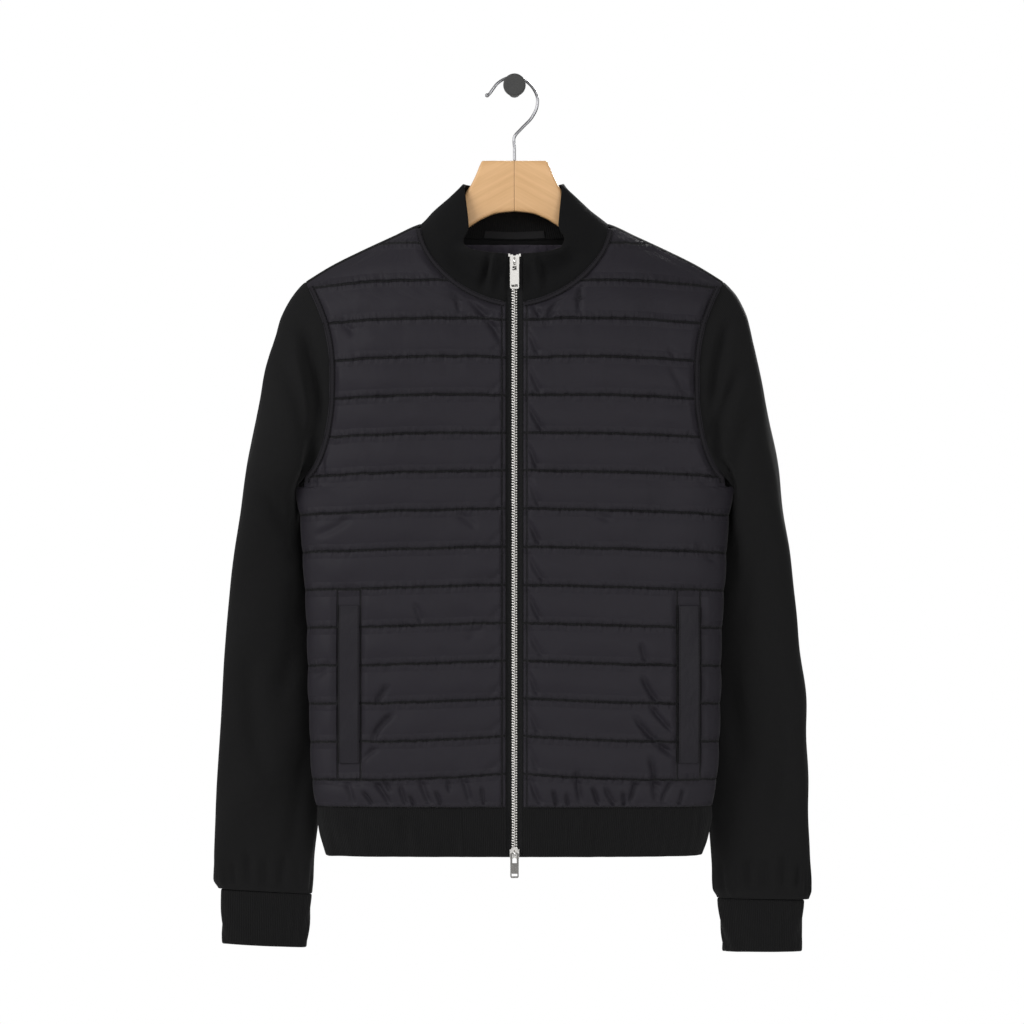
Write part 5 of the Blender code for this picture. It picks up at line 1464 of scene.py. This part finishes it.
def box_ring(x, half_tall, front, back, eased):
    """Eight points round an upright section at x: a rectangle with eased corners."""
    y = np.array([front, front, front + eased, back - eased, back, back, back - eased, front + eased])
    z = np.array([-1, 1, 1, 1, 1, -1, -1, -1]) * half_tall
    z[[0, 1, 4, 5]] *= 1 - eased / half_tall if half_tall > 0 else 1
    return grid_of(x, y, z)


def capped(rings):
    """Points and quads of a closed solid through rings, its ends filled across."""
    rows, columns = rings.shape[:2]
    index = np.arange(rows * columns).reshape(rows, columns)
    faces = quads(np.concatenate([index, index[:, :1]], axis=1))
    first = np.arange(columns // 2 - 1)
    cap = np.stack([first, first + 1, columns - 2 - first, columns - 1 - first], axis=-1)
    far = cap[:, ::-1] + (rows - 1) * columns
    return rings.reshape(-1, 3), np.concatenate([faces, cap, far])


def solid(name, rings, paint, nodes):
    """A smooth closed solid through rings."""
    return place(name, make_mesh(name, *capped(rings)), paint, "jacket", nodes)


def make_teeth():
    """Two rows of teeth that meet turn about in the middle, each a clamp on its tape, a neck and a head."""
    deep, half = TOOTH_DEEP, TEETH_PITCH / 2
    stations = (
        (0.00292, 0.00045, 0.00030, deep - 0.0002),
        (0.00275, 0.00088, 0.00005, deep),
        (0.00150, 0.00088, 0.0, deep),
        (0.00090, 0.00052, 0.00010, deep - 0.0002),
        (0.00020, 0.00060, 0.0, deep - 0.0001),
        (-0.00055, 0.00056, 0.0001, deep - 0.0002),
        (-0.00085, 0.00036, 0.0004, deep - 0.0006),
    )
    rings = np.stack([box_ring(x, tall, front, back, 0.00011) for x, tall, front, back in stations])
    points, faces = capped(rings)
    for name, side in SIDES:
        first = CHAIN_TOP - 0.0012 - (half if side > 0 else 0)
        levels = np.arange(first, CHAIN_BOTTOM + 0.001, -TEETH_PITCH)
        y = MIDDLE_Y - zip_front(levels) + CHAIN_DEPTH
        offsets = grid_of(0, y, levels)
        every = (points[None] + offsets[:, None]).reshape(-1, 3) * (side, 1, 1)
        shifted = (faces[None] + (np.arange(len(levels)) * len(points))[:, None, None]).reshape(-1, 4)
        mesh = make_mesh(f"zip teeth {name}", every, shifted)
        place(f"zip teeth {name}", mesh, NICKEL, "jacket", [f"zip_chain_{name}"])


def slab(across, up, front, back, filled):
    """Points and quads of a flat plate drawn on a grid of (x, z) points, with holes where a cell isn't
    filled: both faces, and a wall wherever a filled cell meets an empty one."""
    rows, columns = across.shape
    index = np.arange(rows * columns).reshape(rows, columns)
    room = np.pad(filled, 1)
    points = [grid_of(across, y, up).reshape(-1, 3) for y in (front, back)]
    other = rows * columns
    face = quads(index)[filled.ravel()]
    faces = [face, face[:, ::-1] + other]
    for step, a, b in (
        ((-1, 0), index[:-1, 1:], index[:-1, :-1]),
        ((1, 0), index[1:, :-1], index[1:, 1:]),
        ((0, -1), index[:-1, :-1], index[1:, :-1]),
        ((0, 1), index[1:, 1:], index[:-1, 1:]),
    ):
        beside = room[1 + step[0] : 1 + step[0] + rows - 1, 1 + step[1] : 1 + step[1] + columns - 1]
        edge = filled & ~beside
        near, far = a[edge], b[edge]
        faces.append(np.stack([near, far, far + other, near + other], axis=-1))
    faces = np.concatenate(faces)
    used, compact = np.unique(faces, return_inverse=True)
    return np.concatenate(points)[used], compact.reshape(faces.shape)


def block(xs, zs, front, back):
    """A box between two places across, two heights, and two depths."""
    across, up = np.meshgrid(np.sort(xs), zs)
    return slab(across, up, front, back, np.ones((1, 1), bool))


def ease(made, width, segments=2):
    """Rounds a hard piece's edges."""
    change = made.modifiers.new("edges", "BEVEL")
    change.width = width
    change.segments = segments
    change.limit_method = "ANGLE"
    change.angle_limit = np.radians(35)
    change.harden_normals = False
    return made


def joined(name, parts, paint, nodes, body="jacket"):
    """One piece from several closed solids."""
    start, points, faces = 0, [], []
    for part_points, part_faces in parts:
        points.append(part_points)
        faces.append(part_faces + start)
        start += len(part_points)
    mesh = make_mesh(name, np.concatenate(points), np.concatenate(faces))
    mesh.shade_flat()
    return place(name, mesh, paint, body, nodes)


def slider_planes(level):
    """Front and back of a slider's front plate, then of its back plate."""
    face = float(MIDDLE_Y - zip_front(level) + CHAIN_DEPTH)
    front_plate = face - SLIDER_CLEAR
    back_plate = face + CHAIN_WALL + SLIDER_CLEAR
    return front_plate - SLIDER_WALL, front_plate, back_plate, back_plate + SLIDER_WALL


def slider_outline(top, upright):
    """The plate's outline: broad shoulders with a notch between them, narrowing to its tail."""
    tall = SLIDER_TALL
    steps = np.array([0.0, 0.05, 0.14, 0.30, 0.50, 0.72, 0.88, 0.96, 1.0])
    half = np.array([0.0038, 0.0044, 0.0047, 0.0047, 0.0044, 0.0036, 0.0034, 0.0031, 0.0025])
    shares = np.array([-1.0, -0.62, -0.30, 0.30, 0.62, 1.0])
    across = half[:, None] * shares
    notch = np.array([0.0, -0.0002, 0.0011, 0.0011, -0.0002, 0.0])
    sink = notch[None] * np.clip(1 - steps[:, None] / 0.30, 0, 1)
    up = top - tall * steps[:, None] - sink
    if not upright:
        up = 2 * top - tall - up
    return across, up


WEDGE_DOWN, WEDGE_TALL, WEDGE_HALF = 0.0033, 0.0032, 0.0022
FLANGE_IN, FLANGE_OUT = 0.0040, 0.0047
BAIL_HALF_WIDE, BAIL_HALF_THICK = 0.0011, 0.00055


def make_slider(name, node, top, upright):
    """A slider: two plates joined by a wedge, with a loop on its front that holds the pull."""
    a, b, c, d = slider_planes(top - SLIDER_TALL / 2)
    across, up = slider_outline(top, upright)
    full = np.ones((len(across) - 1, across.shape[1] - 1), bool)
    parts = [slab(across, up, a, b, full), slab(across, up, c, d, full)]
    near = top - WEDGE_DOWN if upright else top - SLIDER_TALL + WEDGE_DOWN
    wedge = (near + WEDGE_TALL / 2, near - WEDGE_TALL / 2)
    parts.append(block((-WEDGE_HALF, WEDGE_HALF), wedge, a + 0.0005, d - 0.0005))
    flange = (top - 0.0020, top - SLIDER_TALL + 0.0030)
    for side in (-1, 1):
        parts.append(block((side * FLANGE_IN, side * FLANGE_OUT), flange, a + 0.0005, b + 0.0013))
    level = top - SLIDER_TALL / 2
    turn = np.linspace(0, np.pi, 25)
    out = a + 0.0002 - (BAIL_REACH - BAIL_WALL / 2 + 0.0002) * np.sin(turn) ** 0.7
    path = grid_of(0, out, level - 0.0008 + 0.0036 * np.cos(turn))
    along = unit(np.gradient(path, axis=0))
    sideways = np.broadcast_to((1.0, 0, 0), along.shape)
    outward = np.cross(sideways, along)
    spin = turns(12)[:, None]
    ring = sideways[:, None] * (BAIL_HALF_WIDE * np.cos(spin))
    ring = ring + outward[:, None] * (BAIL_HALF_THICK * np.sin(spin))
    parts.append(capped(path[:, None] + ring))
    return ease(joined(name, parts, NICKEL, [node]), 0.00022)


Pull = namedtuple("Pull", "half_width length window_half window_tall slot_half slot_top slot_foot lean")
UPPER_PULL = Pull(0.0046, 0.0300, 0.0021, 0.0096, 0.0033, 0.0256, 0.0282, 0.0)
LOWER_PULL = Pull(0.0043, 0.0266, 0.0023, 0.0098, 0.0030, 0.0221, 0.0250, 8.0)


def make_pull(name, node, shape, plate_front, axis_level):
    """A flat pull with eased corners, hanging by its top bar in the slider's loop."""
    axis_y = plate_front - (BAIL_REACH - BAIL_WALL) / 2
    top, half = PULL_BAR / 2, shape.half_width
    levels = [0.0, 0.0006, 0.0014, top + PULL_BAR / 2, top + PULL_BAR / 2 + shape.window_tall]
    levels += [shape.slot_top, shape.slot_foot]
    levels += [shape.length - 0.0014, shape.length - 0.0006, shape.length]
    levels = np.array(sorted(levels))
    narrow = {0.0: 0.0012, 0.0006: 0.0004, shape.length - 0.0006: 0.0004, shape.length: 0.0012}
    edge = np.array([half - narrow.get(level, 0.0) for level in levels])
    inner, slot = shape.window_half, shape.slot_half
    shares = [-1, -slot, -inner, inner, slot, 1]
    across = np.array([[share * e if abs(share) == 1 else share for share in shares] for e in edge])
    up = np.broadcast_to(top - levels[:, None], across.shape)
    middles = (levels[:-1] + levels[1:]) / 2
    centre = (across[:-1, :-1] + across[:-1, 1:] + across[1:, :-1] + across[1:, 1:]) / 4
    window = (middles > PULL_BAR) & (middles < PULL_BAR + shape.window_tall)
    filled = ~(window[:, None] & (np.abs(centre) < inner))
    cut = (middles > shape.slot_top) & (middles < shape.slot_foot)
    filled &= ~(cut[:, None] & (np.abs(centre) < slot))
    points, faces = slab(across, up, -PULL_WALL / 2, PULL_WALL / 2, filled)
    lean = np.radians(shape.lean)
    x, y, z = points.T
    points = grid_of(x, y * np.cos(lean) - z * np.sin(lean), y * np.sin(lean) + z * np.cos(lean))
    made = joined(name, [(points + (0, axis_y, axis_level), faces)], NICKEL, [node], body=node)
    return ease(made, 0.00025)


STOP_IN, STOP_OUT, STOP_WALL = 0.0048, 0.0061, 0.0015


def make_zip():
    """Tapes, teeth, both sliders with their pulls, and the two stops at the top."""
    make_tapes()
    make_teeth()
    upper, lower = UPPER_SLIDER_TOP, LOWER_SLIDER_FOOT + SLIDER_TALL
    make_slider("upper slider", "upper_slider", upper, True)
    make_slider("lower slider", "lower_slider", lower, False)
    for name, shape, top in (("upper", UPPER_PULL, upper), ("lower", LOWER_PULL, lower)):
        level = top - SLIDER_TALL / 2
        make_pull(f"{name} pull", f"{name}_pull", shape, slider_planes(level)[0], level)
    y = float(MIDDLE_Y - zip_front(TAPE_TOP)) + QUILT_WALL
    stop_levels = (TAPE_TOP - 0.0002, TAPE_TOP - 0.0026)
    for name, side in SIDES:
        stop = block((side * STOP_IN, side * STOP_OUT), stop_levels, y - STOP_WALL, y)
        ease(joined(f"top stop {name}", [stop], NICKEL, [f"top_stop_{name}"]), 0.0003, 3)


# ---------------------------------------------------------------- hanger, hook and peg

HANGER_RINGS = 150
HANGER_AROUND = 64
HANGER_END = ((0.7, 0.0012), (0.3, 0.0018))


def make_hanger():
    """Each half of the board: superellipse sections along the arm, their sizes read from the table."""
    xs = np.linspace(HANGER[0].across, HANGER[-1].across, HANGER_RINGS)
    read = read_all(HANGER, xs)
    turn = 2 * np.pi * np.arange(HANGER_AROUND) / HANGER_AROUND
    cos, sin = np.cos(turn)[None], np.sin(turn)[None]
    power = 2 / read["power"]
    y = MIDDLE_Y + read["half_depth"] * squared(cos, power)
    middle, half = (read["top"] + read["foot"]) / 2, (read["top"] - read["foot"]) / 2
    z = middle + half * squared(sin, power)
    rings = grid_of(xs[:, None], y, z)
    tip = rings[-1:].mean(axis=1, keepdims=True)
    rounded = [tip + (rings[-1:] - tip) * share + (out, 0, 0) for share, out in HANGER_END]
    rings = np.concatenate([rings, *rounded])
    for name, side in SIDES:
        solid(f"hanger {name}", rings * (side, 1, 1), BEECH, [f"hanger_{name}"])


def make_hook():
    """Round wire along the hook's bends, ending in a small ball."""
    bends = np.array([(bend.across, MIDDLE_Y, bend.height) for bend in HOOK])
    path = smooth_path(bends, 220)
    along = unit(np.gradient(path, axis=0))
    sideways = np.broadcast_to((0.0, 1.0, 0.0), along.shape)
    outward = np.cross(along, sideways)
    spin = turns(24)[:, None]
    from_end = np.linalg.norm(path - path[-1], axis=1)
    ball = np.sqrt(np.maximum(HOOK_TIP**2 - (from_end - HOOK_TIP) ** 2, 0))
    radius = np.maximum(ball, np.where(from_end > HOOK_TIP, WIRE, 0.0002))
    ring = np.cos(spin) * sideways[:, None] + np.sin(spin) * outward[:, None]
    solid("hook", path[:, None] + radius[:, None, None] * ring, CHROME, ["hook"])


Turned = namedtuple("Turned", "along radius")
PEG_PROFILE = in_millimetres(
    Turned,
    (0, 7), (-40, 7), (-80, 7), (-82.6, 7.2), (-83, 8), (-83.1, 10.5), (-83.4, 11.35), (-84.2, 11.75),
    (-88.5, 11.75), (-91.8, 11.7), (-92.9, 11.35), (-93.4, 10.5), (-93.5, 9), (-93.5, 5), (-93.5, 1),
)


def make_peg():
    """The peg: a profile of distance along and radius, turned round its axis."""
    profile = np.array(PEG_PROFILE)
    spin = turns(64)
    radius = profile[:, 1][:, None]
    rings = grid_of(radius * np.cos(spin), profile[:, 0][:, None], radius * np.sin(spin))
    solid("wall peg", rings, PEG, ["wall_peg"])


# ---------------------------------------------------------------- room, light and view


FLOOR = ((3.0, -1.80), (3.0, -1.75), (1.5, -1.75), (0.02, -1.75))
FLOOR_BACK = 0.8
SKY = (
    (0.0, 0.06), (0.368, 0.07), (0.42, 0.60), (0.45, 1.0),
    (0.56, 1.0), (0.62, 0.55), (0.80, 0.30), (1.0, 0.60),
)
Lamp = namedtuple("Lamp", "name where aim size watts")
LAMPS = (
    Lamp("key", (-1.7, -1.5, 0.55), (0, 0, -0.48), (1.2, 1.2), 27),
    Lamp("fill", (0.80, -2.4, -0.20), (0, 0, -0.45), (1.0, 1.2), 14),
    Lamp("rear", (0.9, 2.3, 0.9), (0, 0, -0.45), (1.6, 1.4), 130),
)


def make_room():
    """A pale floor well below, a pale sky brightest round the horizon, and soft lamps above the front."""
    rim = turns(96)
    rings = np.stack([grid_of(r * np.cos(rim), r * np.sin(rim) + FLOOR_BACK, z) for r, z in FLOOR])
    mesh = make_mesh("floor", *capped(rings))
    mesh.shade_flat()
    mesh.materials.append(Finish("floor paint", None, (0.80, 0.80, 0.79), 0.8).material)
    in_scene("floor", mesh)

    world = bpy.data.worlds.new("studio")
    world.use_nodes = True
    tree = world.node_tree
    sky = tree.nodes["Background"]
    heading = tree.nodes.new("ShaderNodeTexCoord")
    split = tree.nodes.new("ShaderNodeSeparateXYZ")
    tree.links.new(heading.outputs["Generated"], split.inputs[0])
    ramp = tree.nodes.new("ShaderNodeValToRGB")
    change = tree.nodes.new("ShaderNodeMapRange")
    tree.links.new(split.outputs[2], change.inputs["Value"])
    change.inputs["From Min"].default_value = -1
    change.inputs["From Max"].default_value = 1
    tree.links.new(change.outputs[0], ramp.inputs[0])
    ramp.color_ramp.elements[0].position = SKY[0][0]
    ramp.color_ramp.elements[1].position = SKY[-1][0]
    for where, _ in SKY[1:-1]:
        ramp.color_ramp.elements.new(where)
    for element, (_, level) in zip(ramp.color_ramp.elements, SKY):
        element.color = (level, level, level, 1)
    tree.links.new(ramp.outputs[0], sky.inputs[0])
    bpy.context.scene.world = world

    for lamp in LAMPS:
        light = bpy.data.lights.new(lamp.name, "AREA")
        light.shape = "RECTANGLE"
        light.size, light.size_y = lamp.size
        light.energy = lamp.watts
        made = in_scene(lamp.name, light)
        made.location = lamp.where
        made.rotation_euler = (Vector(lamp.aim) - Vector(lamp.where)).to_track_quat("-Z", "Y").to_euler()


VIEW_CENTRE = (-0.0026, -0.10, -0.44512)
VIEW_WIDTH = 1.065
VIEW_LENS, VIEW_SENSOR = 200.0, 36.0


def make_view():
    """A long lens level with the jacket's middle, straight from the front."""
    data = bpy.data.cameras.new("view")
    data.lens, data.sensor_width = VIEW_LENS, VIEW_SENSOR
    data.clip_end = 50
    made = in_scene("view", data)
    far = VIEW_WIDTH * VIEW_LENS / VIEW_SENSOR
    made.location = (VIEW_CENTRE[0], VIEW_CENTRE[1] - far, VIEW_CENTRE[2])
    made.rotation_euler = (np.pi / 2, 0, 0)
    bpy.context.scene.camera = made
    bpy.context.scene.view_settings.view_transform = "Standard"


def declare_cloth():
    """Collects the neck bands, the zip tapes and the neck tape in a list, and uses it no further."""
    bands = [PIECES[f"{kind} {side}"] for side, _ in SIDES for kind in ("neck band", "zip tape")]
    bands.append(PIECES["neck tape"])


def main():
    make_fronts()
    make_welts()
    make_bands()
    make_back()
    collar, collar_normals = make_collar()
    make_neck_tape(collar, collar_normals)
    make_back_lining()
    make_sleeves()
    make_cuffs()
    make_hem()
    make_zip()
    make_hanger()
    make_hook()
    make_peg()
    declare_cloth()
    make_room()
    make_view()


main()
